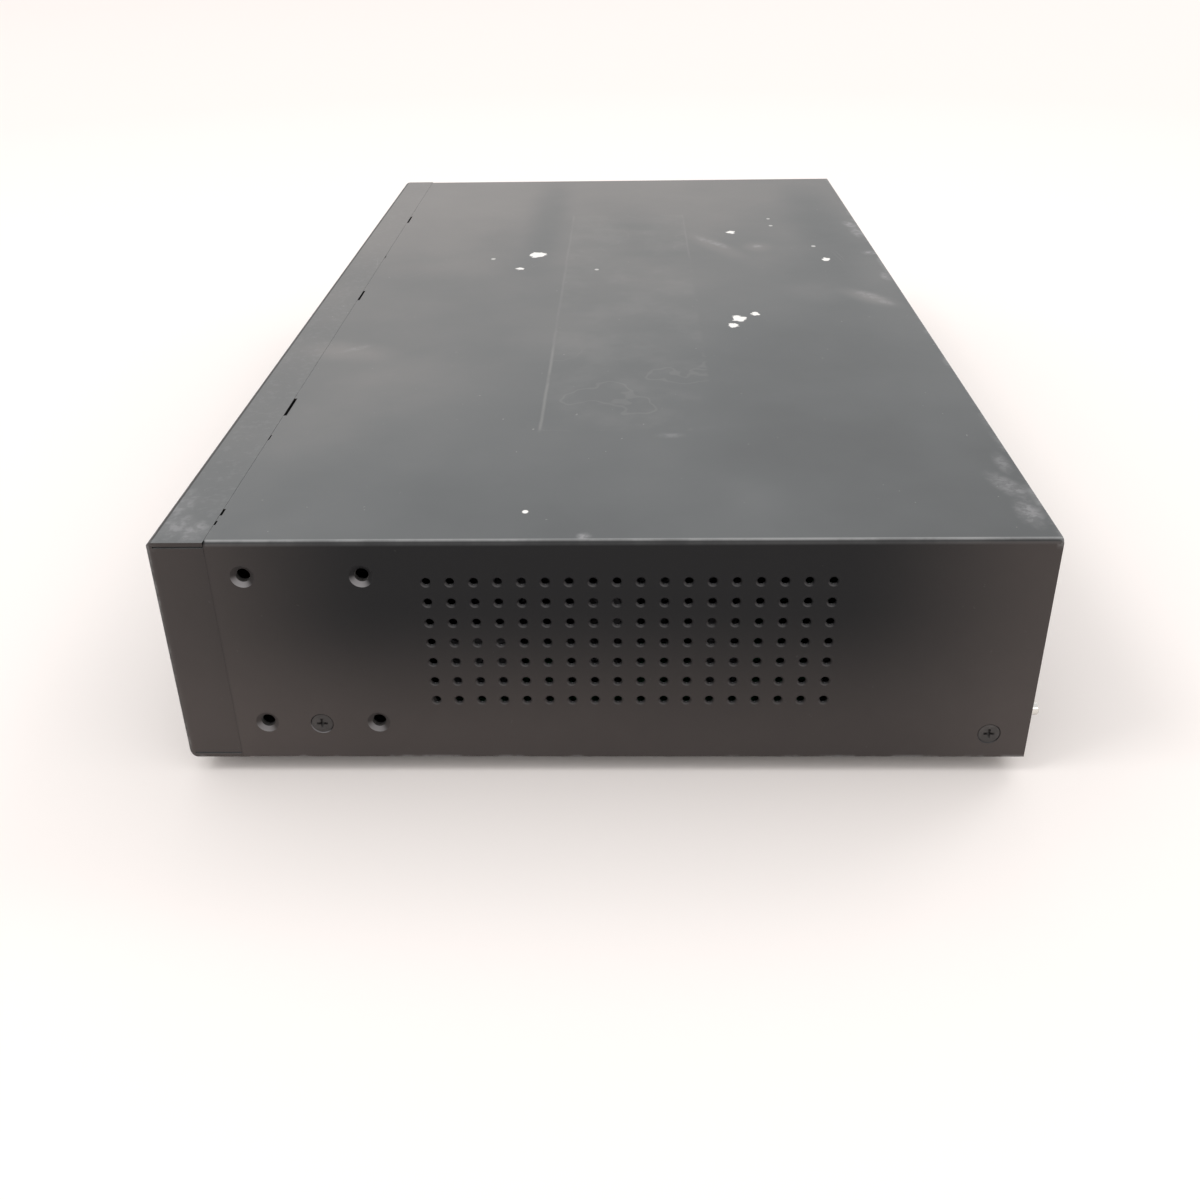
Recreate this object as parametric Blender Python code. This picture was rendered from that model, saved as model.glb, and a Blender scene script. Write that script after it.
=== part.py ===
"""Rack-width digital video recorder, 1.5 rack units tall, as an assembly of separate pieces.

Frame: +Z up, front faces -Y, +X is the viewer's right when facing the front.
The origin is on the surface the rubber feet stand on, under the middle of the case.
All numbers below are millimetres. MM turns them into Blender's metres.
"""

import math

import bmesh
import bpy
from mathutils import Matrix, Vector

MM = 0.001

# ------------------------------------------------------------- driving dimensions
WIDTH = 440.0           # over the cover's sides
DEPTH = 235.0           # front face to rear edge of the cover
BODY_H = 68.0           # case without feet
FOOT_H = 5.0
SHEET = 1.0             # cover, base and rear panel
FRONT_SHEET = 1.2       # folded front panel
FLANGE = 15.6           # depth of the front panel's return flanges
SEAM = 0.45             # open seam between front panel and cover
GAP = 0.3               # clearance between pieces that touch
FOLD_R = 1.6            # outer radius of the cover's folds

VENT_COLS, VENT_ROWS = 18, 7
VENT_PITCH_Y, VENT_PITCH_Z = 6.22, 6.15
VENT_R = 1.5
VENT_Y0, VENT_Z0 = 72.2, 11.8      # first hole: behind the front face, below the top

EAR_Y = (24.4, 55.5)    # rack-ear holes: behind the front face
EAR_Z = (10.0, 56.1)    # rack-ear holes: below the top
SIDE_SCREW = ((39.6, 56.6), (224.3, 60.1))
CSK_R, CSK_HOLE_R = 3.3, 2.5

KEY_TRAVEL = 0.8
KEY_PROUD = 1.4
FRONT_REACH = 9.5       # jog dial in front of the front face
REAR_REACH = 9.5        # video sockets behind the cover's rear edge

HX = WIDTH / 2
YF, YR = -DEPTH / 2, DEPTH / 2
Z0, Z1 = FOOT_H, FOOT_H + BODY_H
ZC = (Z0 + Z1) / 2
COVER_Y0 = YF + FLANGE + SEAM
FRONT_IN = YF + FRONT_SHEET          # inner side of the front plate
WALL_Y = COVER_Y0 - 0.05             # inner front wall of the base
REAR_OUT = YR - SHEET - GAP          # outer side of the rear panel
REAR_IN = REAR_OUT - SHEET
BOARD_Z = 13.9                       # top of the main board
KEYBOARD_Y = -108.0                  # front side of the key board

# front controls: x, z
POWER_X = -198.0
WINDOW = (-180.0, -112.0, ZC - 9.0, ZC + 9.0)
NUM_X = [-92.0 + 19.0 * i for i in range(5)]
ROW_Z = (ZC + 9.0, ZC - 9.0)
NUM_W, NUM_H = 14.0, 9.0
SIDE_KEY_X, SIDE_KEY_W = 11.0, 18.0
PAD_X, PAD_R, ENTER_R = 60.0, 21.5, 8.6
JOG_X, JOG_R, SHUTTLE_R = 126.0, 16.5, 23.0
USB_X = 186.0

# rear sockets: x, z
BNC_X = [-200.0 + 17.0 * i for i in range(8)]
BNC_Z = (52.0, 30.0)
RCA_X = (-57.0, -43.0)
VGA_X, HDMI_X, LAN_X, USBR_X = -14.0, 15.0, 36.0, 56.0
TERM_X0, TERM_X1 = -31.0, 46.0
FAN_X, FAN_R = 104.0, 19.2
SWITCH_X, INLET_X = 146.0, 186.0
ROCKER_TILT = 9.0                    # degrees each side of the middle
ROCKER_PIVOT_Y = 113.5


# ------------------------------------------------------------- scene and materials
for old in list(bpy.data.objects):
    bpy.data.objects.remove(old)

MATERIALS = {
    "black_paint": ((0.028, 0.028, 0.030), 0.42, 0.0),
    "bare_steel": ((0.55, 0.56, 0.57), 0.38, 1.0),
    "nickel": ((0.66, 0.65, 0.62), 0.25, 1.0),
    "screw_black": ((0.05, 0.05, 0.052), 0.4, 0.7),
    "key_plastic": ((0.045, 0.046, 0.05), 0.5, 0.0),
    "socket_plastic": ((0.02, 0.02, 0.022), 0.45, 0.0),
    "smoked_window": ((0.02, 0.012, 0.014), 0.08, 0.0),
    "foot_rubber": ((0.018, 0.018, 0.018), 0.85, 0.0),
    "circuit_board": ((0.02, 0.13, 0.06), 0.45, 0.0),
    "terminal_green": ((0.03, 0.25, 0.10), 0.5, 0.0),
    "aluminium": ((0.75, 0.76, 0.77), 0.35, 1.0),
    "cable_jacket": ((0.35, 0.04, 0.03), 0.5, 0.0),
    "ribbon_grey": ((0.42, 0.43, 0.44), 0.6, 0.0),
    "light_guide": ((0.75, 0.78, 0.80), 0.2, 0.0),
    "dial_metal": ((0.42, 0.43, 0.45), 0.3, 1.0),
}


def material(name):
    found = bpy.data.materials.get(name)
    if found:
        return found
    colour, rough, metal = MATERIALS[name]
    made = bpy.data.materials.new(name)
    made.use_nodes = True
    shader = made.node_tree.nodes["Principled BSDF"]
    shader.inputs["Base Color"].default_value = (*colour, 1.0)
    shader.inputs["Roughness"].default_value = rough
    shader.inputs["Metallic"].default_value = metal
    return made


ROOT = bpy.data.objects.new("recorder", None)
bpy.context.scene.collection.objects.link(ROOT)


# ------------------------------------------------------------- building tools
def link(mesh, name):
    made = bpy.data.objects.new(name, mesh)
    bpy.context.scene.collection.objects.link(made)
    return made


def from_bmesh(bm, name="tool"):
    bmesh.ops.recalc_face_normals(bm, faces=bm.faces)
    mesh = bpy.data.meshes.new(name)
    bm.to_mesh(mesh)
    bm.free()
    return link(mesh, name)


def box(x0, x1, y0, y1, z0, z1, bevel=0.0, segments=1):
    """A block given by its faces, with all of its edges bevelled if asked."""
    bm = bmesh.new()
    bmesh.ops.create_cube(bm, size=1.0)
    size = Vector((x1 - x0, y1 - y0, z1 - z0)) * MM
    centre = Vector((x1 + x0, y1 + y0, z1 + z0)) * (MM / 2)
    bmesh.ops.transform(bm, verts=bm.verts, matrix=Matrix.Translation(centre) @ Matrix.Diagonal((*size, 1.0)))
    if bevel:
        bmesh.ops.bevel(bm, geom=list(bm.edges), offset=bevel * MM, segments=segments, affect="EDGES", clamp_overlap=True)
    return from_bmesh(bm)


def lathe(profile, steps, at, axis="Y", phase=0.0):
    """A turned piece. The profile is (radius, distance along the axis), and starts and ends on the axis."""
    bm = bmesh.new()
    verts = [bm.verts.new((r * MM, 0.0, d * MM)) for r, d in profile]
    edges = [bm.edges.new(pair) for pair in zip(verts, verts[1:])]
    bmesh.ops.rotate(bm, cent=(0, 0, 0), matrix=Matrix.Rotation(phase, 3, "Z"), verts=bm.verts)
    bmesh.ops.spin(bm, geom=verts + edges, cent=(0, 0, 0), axis=(0, 0, 1), angle=math.tau, steps=steps, use_merge=True, use_duplicate=False)
    bmesh.ops.remove_doubles(bm, verts=bm.verts, dist=1e-7)
    bmesh.ops.dissolve_degenerate(bm, edges=bm.edges, dist=1e-7)
    turn = {
        "Z": Matrix.Identity(4),
        "Y": Matrix.Rotation(-math.pi / 2, 4, "X"),
        "X": Matrix.Rotation(math.pi / 2, 4, "Y"),
    }[axis]
    bmesh.ops.transform(bm, verts=bm.verts, matrix=Matrix.Translation(Vector(at) * MM) @ turn)
    return from_bmesh(bm)


def rod(radius, d0, d1, at, axis="Y", steps=16, r1=None, phase=0.0):
    """A cylinder or a cone frustum from d0 to d1 along an axis through at."""
    return lathe([(0, d0), (radius, d0), (radius if r1 is None else r1, d1), (0, d1)], steps, at, axis, phase)


def prism(points, d0, d1, axis):
    """A flat outline extruded along an axis. Outline points are (x, z) for Y, (y, z) for X and (x, y) for Z."""
    place = {"Y": lambda a, b, d: (a, d, b), "X": lambda a, b, d: (d, a, b), "Z": lambda a, b, d: (a, b, d)}[axis]
    bm = bmesh.new()
    face = bm.faces.new([bm.verts.new(Vector(place(a, b, d0)) * MM) for a, b in points])
    out = bmesh.ops.extrude_face_region(bm, geom=[face])
    moved = [g for g in out["geom"] if isinstance(g, bmesh.types.BMVert)]
    bmesh.ops.translate(bm, verts=moved, vec=Vector(place(0, 0, d1 - d0)) * MM)
    return from_bmesh(bm)


def round_rect(cx, cz, w, h, r, n=3):
    """Corner points of a rectangle with rounded corners."""
    points = []
    for sx, sz, start in ((1, 1, 0), (-1, 1, 90), (-1, -1, 180), (1, -1, 270)):
        for i in range(n + 1):
            a = math.radians(start + 90 * i / n)
            points.append((cx + sx * (w / 2 - r) + r * math.cos(a), cz + sz * (h / 2 - r) + r * math.sin(a)))
    return points


def circle(cx, cz, r, n=16, phase=0.0):
    return [(cx + r * math.cos(phase + math.tau * i / n), cz + r * math.sin(phase + math.tau * i / n)) for i in range(n)]


def sector(cx, cz, r0, r1, a0, a1, n):
    """An arc-shaped outline between two radii and two angles in degrees."""
    steps = [math.radians(a0 + (a1 - a0) * i / n) for i in range(n + 1)]
    return [(cx + r1 * math.cos(a), cz + r1 * math.sin(a)) for a in steps] + [
        (cx + r0 * math.cos(a), cz + r0 * math.sin(a)) for a in reversed(steps)
    ]


def together(tools):
    """Several closed shapes that don't touch, as one cutter."""
    bm = bmesh.new()
    for tool in tools:
        bm.from_mesh(tool.data)
        bpy.data.objects.remove(tool)
    mesh = bpy.data.meshes.new("cutters")
    bm.to_mesh(mesh)
    bm.free()
    return link(mesh, "cutters")


def combine(body, tool, operation):
    """Body with a tool cut away or joined on, as one mesh."""
    modifier = body.modifiers.new("cut", "BOOLEAN")
    modifier.operation = operation
    modifier.solver = "EXACT"
    modifier.object = tool
    bpy.context.view_layer.update()
    graph = bpy.context.evaluated_depsgraph_get()
    mesh = bpy.data.meshes.new_from_object(body.evaluated_get(graph))
    body.modifiers.clear()
    body.data = mesh
    bpy.data.objects.remove(tool)
    return body


def cut(body, *tools):
    return combine(body, together(tools) if len(tools) > 1 else tools[0], "DIFFERENCE")


def join(body, *tools):
    for tool in tools:
        body = combine(body, tool, "UNION")
    return body


def piece(made, name, look, origin=None, angle=35.0):
    """Names a finished solid, gives it its material and moves its origin to the point it turns or slides about."""
    made.name = name
    made.data.name = name
    made.data.materials.clear()
    made.data.materials.append(material(look))
    if origin is not None:
        at = Vector(origin) * MM
        made.data.transform(Matrix.Translation(-at))
        made.location = at
    made.data.shade_smooth()
    made.data.set_sharp_from_angle(angle=math.radians(angle))
    made.parent = ROOT
    return made


# ------------------------------------------------------------- case: top cover
def make_top_cover():
    """A sheet folded over the top and both sides, with a lip down the rear, vents and countersunk holes in its sides,
    and three stepped tongues that hook under the front panel's top flange."""
    def fold(sign, r, x, z):
        angles = [90 - 30 * i for i in range(4)]
        return [(sign * (x - r + r * math.cos(math.radians(a))), z - r + r * math.sin(math.radians(a))) for a in angles]

    outer = fold(1, FOLD_R, HX, Z1)
    inner = fold(1, FOLD_R - SHEET, HX - SHEET, Z1 - SHEET)
    left_outer = [(-x, z) for x, z in reversed(outer)]
    left_inner = [(-x, z) for x, z in reversed(inner)]
    outline = outer + [(HX, Z0), (HX - SHEET, Z0)] + list(reversed(inner)) + list(reversed(left_inner)) + [(-HX + SHEET, Z0), (-HX, Z0)] + left_outer
    cover = prism(outline, COVER_Y0, YR, "Y")
    cover = join(cover, box(-HX + 2.2, HX - 2.2, YR - SHEET, YR, Z1 - 10.5, Z1 - SHEET / 2))
    notches = [box(x - 7, x + 7, COVER_Y0 - 5, COVER_Y0 + 0.7, Z1 - SHEET - 2.0, Z1 + 1) for x in (-126.0, 0.0, 126.0)]
    cover = cut(cover, *notches)
    for x in (-126.0, 0.0, 126.0):
        step = prism([(COVER_Y0 - 7.5, Z1 - 2.7), (COVER_Y0 + 3, Z1 - 2.7), (COVER_Y0 + 3, Z1 - 0.5), (COVER_Y0 + 1.2, Z1 - 0.5), (COVER_Y0 + 0.2, Z1 - 1.8), (COVER_Y0 - 7.5, Z1 - 1.8)], x - 5, x + 5, "X")
        cover = join(cover, step)
    for row in range(VENT_ROWS):
        z = Z1 - VENT_Z0 - VENT_PITCH_Z * row
        vents = [rod(VENT_R, -HX - 3, HX + 3, (0, YF + VENT_Y0 + VENT_PITCH_Y * col, z), "X", 6) for col in range(VENT_COLS)]
        cover = cut(cover, *vents)
    holes = []
    for sign in (1, -1):
        spots = [(y, z) for y in EAR_Y for z in EAR_Z] + list(SIDE_SCREW)
        for y, z in spots:
            taper = CSK_R - CSK_HOLE_R
            deep, out = 3.0, 1.0
            profile = [(0, HX - SHEET - deep), (CSK_HOLE_R, HX - SHEET - deep), (CSK_HOLE_R, HX - SHEET), (CSK_R, HX), (CSK_R + taper * out, HX + out), (0, HX + out)]
            tool = lathe(profile, 10, (0, YF + y, Z1 - z), "X")
            if sign < 0:
                tool.data.transform(Matrix.Scale(-1, 4, (1, 0, 0)))
                tool.data.flip_normals()
            holes.append(tool)
    cover = cut(cover, *holes)
    cover = cut(cover, *[rod(1.8, YR - 4, YR + 4, (x, 0, Z1 - 6), "Y", 12) for x in (-200.0, 0.0, 200.0)])
    return piece(cover, "top_cover", "black_paint")


# ------------------------------------------------------------- case: base pan
def make_base_pan():
    """The tray that everything bolts to: floor, inner front wall, full-height wings behind the rack-ear holes,
    low side flanges further back, and pressed-in stand-offs for the boards."""
    x1, y1 = HX - SHEET - 0.4, YR - 0.3
    base = box(-x1, x1, WALL_Y, y1, Z0, Z0 + SHEET)
    base = join(base, box(-x1, x1, WALL_Y, WALL_Y + SHEET, Z0, Z1 - 3.2))
    for sign in (1, -1):
        outline = [(WALL_Y, Z0), (y1, Z0), (y1, Z0 + 16), (-44, Z0 + 16), (-50, Z0 + 24), (-50, Z1 - 3.2), (WALL_Y, Z1 - 3.2)]
        a, b = sorted((sign * (x1 - SHEET), sign * x1))
        base = join(base, prism(outline, a, b, "X"))
    studs = [(-206, 20), (-80, 20), (62, 20), (-206, 92), (-70, 92), (64, 92)]
    studs += [(110, -42), (206, -42), (110, 81), (206, 81)]
    for x, y in studs:
        base = join(base, rod(3.0, Z0 + 0.5, 12.0, (x, y, 0), "Z", 8))
    holes = []
    for sign in (1, -1):
        spots = [(y, z, 1.85) for y in EAR_Y for z in EAR_Z] + [(y, z, 2.15) for y, z in SIDE_SCREW]
        holes += [rod(r, sign * x1 - 4, sign * x1 + 4, (0, YF + y, Z1 - z), "X", 10) for y, z, r in spots]
    holes.append(box(0, 40, WALL_Y - 4, WALL_Y + 4, 38, 52))
    holes.append(box(176, 196, WALL_Y - 4, WALL_Y + 4, 16, 24))
    for x0 in (-205.0, -36.0):
        for dx in (28.5, 28.5 + 101.6):
            for y in (-93.0, 2.2):
                holes.append(rod(2.0, Z0 - 3, Z0 + 4, (x0 + dx, y, 0), "Z", 10))
    base = cut(base, *holes)
    return piece(base, "base_pan", "black_paint")


# ------------------------------------------------------------- case: rear panel
def make_rear_panel():
    """The socket panel, with inward flanges along its top and bottom and a stamped finger guard in front of the fan."""
    x1 = HX - 2 * SHEET - 0.8
    z0, z1 = Z0 + SHEET + GAP, Z1 - SHEET - 0.5
    panel = box(-x1, x1, REAR_IN, REAR_OUT, z0, z1)
    panel = join(panel, box(-x1, x1, REAR_OUT - 9, REAR_OUT - 0.5, z0, z0 + SHEET), box(-x1, x1, REAR_OUT - 9, REAR_OUT - 0.5, z1 - SHEET, z1))
    tools = []
    d0, d1 = REAR_IN - 3, REAR_OUT + 3
    for x in BNC_X:
        for z in BNC_Z:
            tools.append(rod(5.5, d0, d1, (x, 0, z), "Y", 8))
    for x in RCA_X:
        for z in BNC_Z:
            tools.append(rod(4.9, d0, d1, (x, 0, z), "Y", 8))
    tools.append(prism(vga_outline(9.3, 8.2, 5.0, VGA_X, 20.6), d0, d1, "Y"))
    tools += [rod(2.6, d0, d1, (VGA_X + s * 12.5, 0, 20.6), "Y", 8) for s in (-1, 1)]
    tools.append(box(HDMI_X - 7.9, HDMI_X + 7.9, d0, d1, 13.9, 20.9))
    tools.append(box(LAN_X - 8.4, LAN_X + 8.4, d0, d1, 13.9, 28.3))
    tools.append(box(USBR_X - 7.1, USBR_X + 7.1, d0, d1, 13.9, 30.3))
    tools.append(box(TERM_X0 - 0.5, TERM_X1 + 0.5, d0, d1, 42.0, 55.1))
    tools.append(box(SWITCH_X - 6.6, SWITCH_X + 6.6, d0, d1, ZC - 9.9, ZC + 9.9))
    tools.append(box(INLET_X - 14.2, INLET_X + 14.2, d0, d1, ZC - 10.5, ZC + 10.5))
    tools += [rod(1.9, d0, d1, (INLET_X + s * 20, 0, ZC), "Y", 10) for s in (-1, 1)]
    tools += [rod(1.8, d0, d1, (FAN_X + sx * 16, 0, ZC + sz * 16), "Y", 10) for sx in (-1, 1) for sz in (-1, 1)]
    for r0, r1 in ((8.6, 11.0), (12.6, 15.0), (16.4, 18.8)):
        for q in range(4):
            open_half = 45 - math.degrees(1.3 / r0)
            mid = 90 * q + 45
            tools.append(prism(sector(FAN_X, ZC, r0, r1, mid - open_half, mid + open_half, 4), d0, d1, "Y"))
    tools += [rod(1.8, d0, d1, (x, 0, Z1 - 6), "Y", 12) for x in (-200.0, 0.0, 200.0)]
    return piece(cut(panel, *tools), "rear_panel", "black_paint")


def vga_outline(half_top, half_bottom, half_h, cx, cz):
    """The trapezium of a D-shaped socket, wide side up."""
    c = 1.6
    return [
        (cx - half_top + c, cz + half_h), (cx - half_top, cz + half_h - c), (cx - half_bottom, cz - half_h + c), (cx - half_bottom + c, cz - half_h),
        (cx + half_bottom - c, cz - half_h), (cx + half_bottom, cz - half_h + c), (cx + half_top, cz + half_h - c), (cx + half_top - c, cz + half_h),
    ]


# ------------------------------------------------------------- case: front panel
def make_front_panel():
    """A folded tray, open to the rear: front plate, four return flanges, and the open slits where the flanges meet."""
    bm = bmesh.new()
    bmesh.ops.create_cube(bm, size=1.0)
    deep = FLANGE
    bmesh.ops.transform(bm, verts=bm.verts, matrix=Matrix.Translation(Vector((0, YF + deep / 2, ZC)) * MM) @ Matrix.Diagonal((WIDTH * MM, deep * MM, BODY_H * MM, 1)))
    front = [e for e in bm.edges if all(abs(v.co.y - YF * MM) < 1e-6 for v in e.verts)]
    bmesh.ops.bevel(bm, geom=front, offset=2.8 * MM, segments=3, profile=0.5, affect="EDGES", clamp_overlap=True)
    panel = from_bmesh(bm)
    t = FRONT_SHEET
    panel = cut(panel, box(-HX + t, HX - t, FRONT_IN, YF + deep + 3, Z0 + t, Z1 - t))
    slits = []
    for sx in (-1, 1):
        a, b = sorted((sx * (HX - t - 0.6), sx * (HX + 2)))
        slits.append(box(a, b, YF + 2.6, YF + deep + 3, Z1 - t - 0.45, Z1 - t + 0.05))
        slits.append(box(a, b, YF + 2.6, YF + deep + 3, Z0 + t - 0.05, Z0 + t + 0.45))
    panel = cut(panel, *slits)
    d0, d1 = YF - 4, FRONT_IN + 4
    tools = [rod(7.6, d0, d1, (POWER_X, 0, ZC), "Y", 24)]
    tools.append(prism(round_rect((WINDOW[0] + WINDOW[1]) / 2, ZC, WINDOW[1] - WINDOW[0], WINDOW[3] - WINDOW[2], 2.0), d0, d1, "Y"))
    for z in ROW_Z:
        for x in NUM_X:
            tools.append(prism(round_rect(x, z, NUM_W + 0.7, NUM_H + 0.7, 1.6, 1), d0, d1, "Y"))
        tools.append(prism(round_rect(SIDE_KEY_X, z, SIDE_KEY_W + 0.7, NUM_H + 0.7, 1.6, 1), d0, d1, "Y"))
    tools.append(prism(circle(PAD_X, ZC, PAD_R + 0.4, 32), d0, d1, "Y"))
    tools.append(prism(circle(JOG_X, ZC, 7.2, 20), d0, d1, "Y"))
    tools.append(box(USB_X - 6.95, USB_X + 6.95, d0, d1, ZC - 3.25, ZC + 3.25))
    return piece(cut(panel, *tools), "front_panel", "black_paint")


# ------------------------------------------------------------- feet and fasteners
def make_feet():
    for sx, side in ((-1, "left"), (1, "right")):
        for sy, end in ((-1, "front"), (1, "rear")):
            at = (sx * 188.0, sy * 88.0, 0)
            foot = lathe([(0, 1.2), (4.0, 1.2), (4.6, 0), (9.0, 0), (9.6, 0.6), (10.4, FOOT_H - GAP), (0, FOOT_H - GAP)], 14, at, "Z")
            piece(foot, f"foot_{end}_{side}", "foot_rubber")


def phillips(half, arm, d0, d1, at, axis, sign):
    """A cross recess, as two crossed blocks."""
    x, y, z = at
    a, b = sorted((d0, d1))
    if axis == "X":
        return [box(a, b, y - half, y + half, z - arm, z + arm), box(a, b, y - arm, y + arm, z - half, z + half)]
    return [box(x - half, x + half, a, b, z - arm, z + arm), box(x - arm, x + arm, a, b, z - half, z + half)]


def make_side_screws():
    """Flat-head screws, flush in the cover's countersinks, through the base's flanges."""
    for sx, side in ((-1, "left"), (1, "right")):
        for (y, z), end in zip(SIDE_SCREW, ("front", "rear")):
            at = (0, YF + y, Z1 - z)
            top = HX - 0.1
            screw = lathe([(0, top - 7.0), (1.1, top - 7.0), (1.5, top - 6.4), (1.5, top - 1.7), (2.75, top - 0.2), (2.7, top), (0, top)], 10, at, "X")
            for tool in phillips(1.5, 0.33, top - 0.85, top + 1, at, "X", 1):
                screw = cut(screw, tool)
            if sx < 0:
                screw.data.transform(Matrix.Scale(-1, 4, (1, 0, 0)))
                screw.data.flip_normals()
            piece(screw, f"side_screw_{end}_{side}", "screw_black")


def make_rear_screws():
    """Pan-head screws through the cover's rear lip into the rear panel."""
    for x, side in ((-200.0, "left"), (0.0, "middle"), (200.0, "right")):
        at = (x, 0, Z1 - 6)
        y = YR + GAP
        screw = lathe([(0, y - 7), (1.2, y - 7), (1.5, y - 6.5), (1.5, y), (2.9, y), (2.8, y + 0.9), (2.0, y + 1.7), (0, y + 2.0)], 10, at, "Y")
        for tool in phillips(1.4, 0.33, y + 0.7, y + 4, at, "Y", 1):
            screw = cut(screw, tool)
        piece(screw, f"rear_screw_{side}", "screw_black")


# ------------------------------------------------------------- front: keys, dial, window, board
def make_keys():
    rear = KEYBOARD_Y - 4.6                      # end of the stem, 1.1 in front of its switch
    face = YF - KEY_PROUD

    def rect_key(name, x, z, w, h):
        cap = prism(round_rect(x, z, w, h, 1.3, 1), face + 0.5, FRONT_IN + 0.6, "Y")
        crown = prism(round_rect(x, z, w - 1.0, h - 1.0, 1.1, 1), face, face + 0.8, "Y")
        flange = box(x - w / 2 - 1.2, x + w / 2 + 1.2, FRONT_IN + GAP, FRONT_IN + GAP + 1.0, z - h / 2 - 1.0, z + h / 2 + 1.0)
        stem = box(x - 2, x + 2, FRONT_IN + 0.5, rear, z - 2, z + 2)
        piece(join(cap, crown, flange, stem), name, "key_plastic", (x, YF, z))

    digit = 1
    for z in ROW_Z:
        for x in NUM_X:
            rect_key(f"key_{digit % 10}", x, z, NUM_W, NUM_H)
            digit += 1
    rect_key("key_menu", SIDE_KEY_X, ROW_Z[0], SIDE_KEY_W, NUM_H)
    rect_key("key_exit", SIDE_KEY_X, ROW_Z[1], SIDE_KEY_W, NUM_H)

    button = lathe([(0, face - 0.2), (5.4, face - 0.2), (6.6, face + 0.2), (7.2, face + 1.0), (7.2, FRONT_IN + GAP), (9.0, FRONT_IN + GAP), (9.0, FRONT_IN + GAP + 1.0), (2.5, FRONT_IN + GAP + 1.0), (2.5, rear), (0, rear)], 18, (POWER_X, 0, ZC), "Y")
    piece(button, "power_button", "key_plastic", (POWER_X, YF, ZC))

    for name, mid in (("key_right", 0), ("key_up", 90), ("key_left", 180), ("key_down", 270)):
        half = 42.6
        cap = prism(sector(PAD_X, ZC, ENTER_R + 1.0, PAD_R, mid - half, mid + half, 8), face, FRONT_IN + 1.6, "Y")
        flange = prism(sector(PAD_X, ZC, PAD_R - 4.0, PAD_R + 1.6, mid - half + 1, mid + half - 1, 8), FRONT_IN + GAP, FRONT_IN + GAP + 1.2, "Y")
        a = math.radians(mid)
        sx, sz = PAD_X + 15 * math.cos(a), ZC + 15 * math.sin(a)
        stem = box(sx - 2, sx + 2, FRONT_IN + 1.0, rear, sz - 2, sz + 2)
        piece(join(cap, flange, stem), name, "key_plastic", (PAD_X, YF, ZC))
    enter = lathe([(0, face - 0.3), (7.4, face - 0.3), (ENTER_R, face + 0.7), (ENTER_R, FRONT_IN + 2.0), (2.2, FRONT_IN + 2.0), (2.2, rear), (0, rear)], 18, (PAD_X, 0, ZC), "Y")
    piece(enter, "key_enter", "key_plastic", (PAD_X, YF, ZC))


def make_dial():
    """The jog dial turns inside the shuttle ring. Both have their bearings in the encoder on the key board."""
    tip = YF - FRONT_REACH
    dial = lathe([(0, tip + 0.4), (JOG_R - 3.5, tip + 0.4), (JOG_R - 2.4, tip), (JOG_R - 1.0, tip + 0.3), (JOG_R, tip + 1.4), (JOG_R, YF - 2.6), (3.0, YF - 2.6), (3.0, KEYBOARD_Y - 1.2), (0, KEYBOARD_Y - 1.2)], 24, (JOG_X, 0, ZC), "Y")
    dimple = rod(4.2, -1.5, 0.9, (JOG_X, tip + 0.4, ZC + 8.4), "Y", 16, r1=3.2)
    piece(cut(dial, dimple), "jog_dial", "dial_metal", (JOG_X, YF, ZC))
    y0, y1 = YF - 5.2, YF - 0.5
    ring = lathe([(3.5, y1 - 1.5), (JOG_R + 0.6, y1 - 1.5), (JOG_R + 0.6, y0 + 0.8), (JOG_R + 1.4, y0), (SHUTTLE_R - 1.6, y0), (SHUTTLE_R, y0 + 1.4), (SHUTTLE_R, y1), (6.6, y1), (6.6, KEYBOARD_Y - 3.0), (3.5, KEYBOARD_Y - 3.0), (3.5, y1 - 1.5)], 24, (JOG_X, 0, ZC), "Y")
    grips = [rod(1.0, y0 - 2, y1 + 0.6 - 1.2, (JOG_X + (SHUTTLE_R + 0.25) * math.cos(math.radians(a)), 0, ZC + (SHUTTLE_R + 0.25) * math.sin(math.radians(a))), "Y", 6) for a in (60, 120)]
    piece(cut(ring, *grips), "shuttle_ring", "key_plastic", (JOG_X, YF, ZC))


def make_front_window():
    x0, x1, z0, z1 = WINDOW
    cx, w, h = (x0 + x1) / 2, x1 - x0, z1 - z0
    pane = prism(round_rect(cx, ZC, w - 0.7, h - 0.7, 1.7), YF - 0.4, FRONT_IN + 0.9, "Y")
    flange = prism(round_rect(cx, ZC, w + 6, h + 6, 2.5), FRONT_IN + GAP, FRONT_IN + 1.2, "Y")
    piece(join(pane, flange), "front_window", "smoked_window")
    y = FRONT_IN + 1.5
    guide = box(x0 + 8, x1 - 8, y + 1.0, y + 3.2, ZC - 2.4, ZC + 2.4)
    for i in range(4):
        x = x0 + 14 + i * (w - 28) / 3
        guide = join(guide, rod(1.5, y, y + 1.5, (x, 0, ZC), "Y", 12))
    piece(guide, "status_light_guide", "light_guide")


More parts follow.
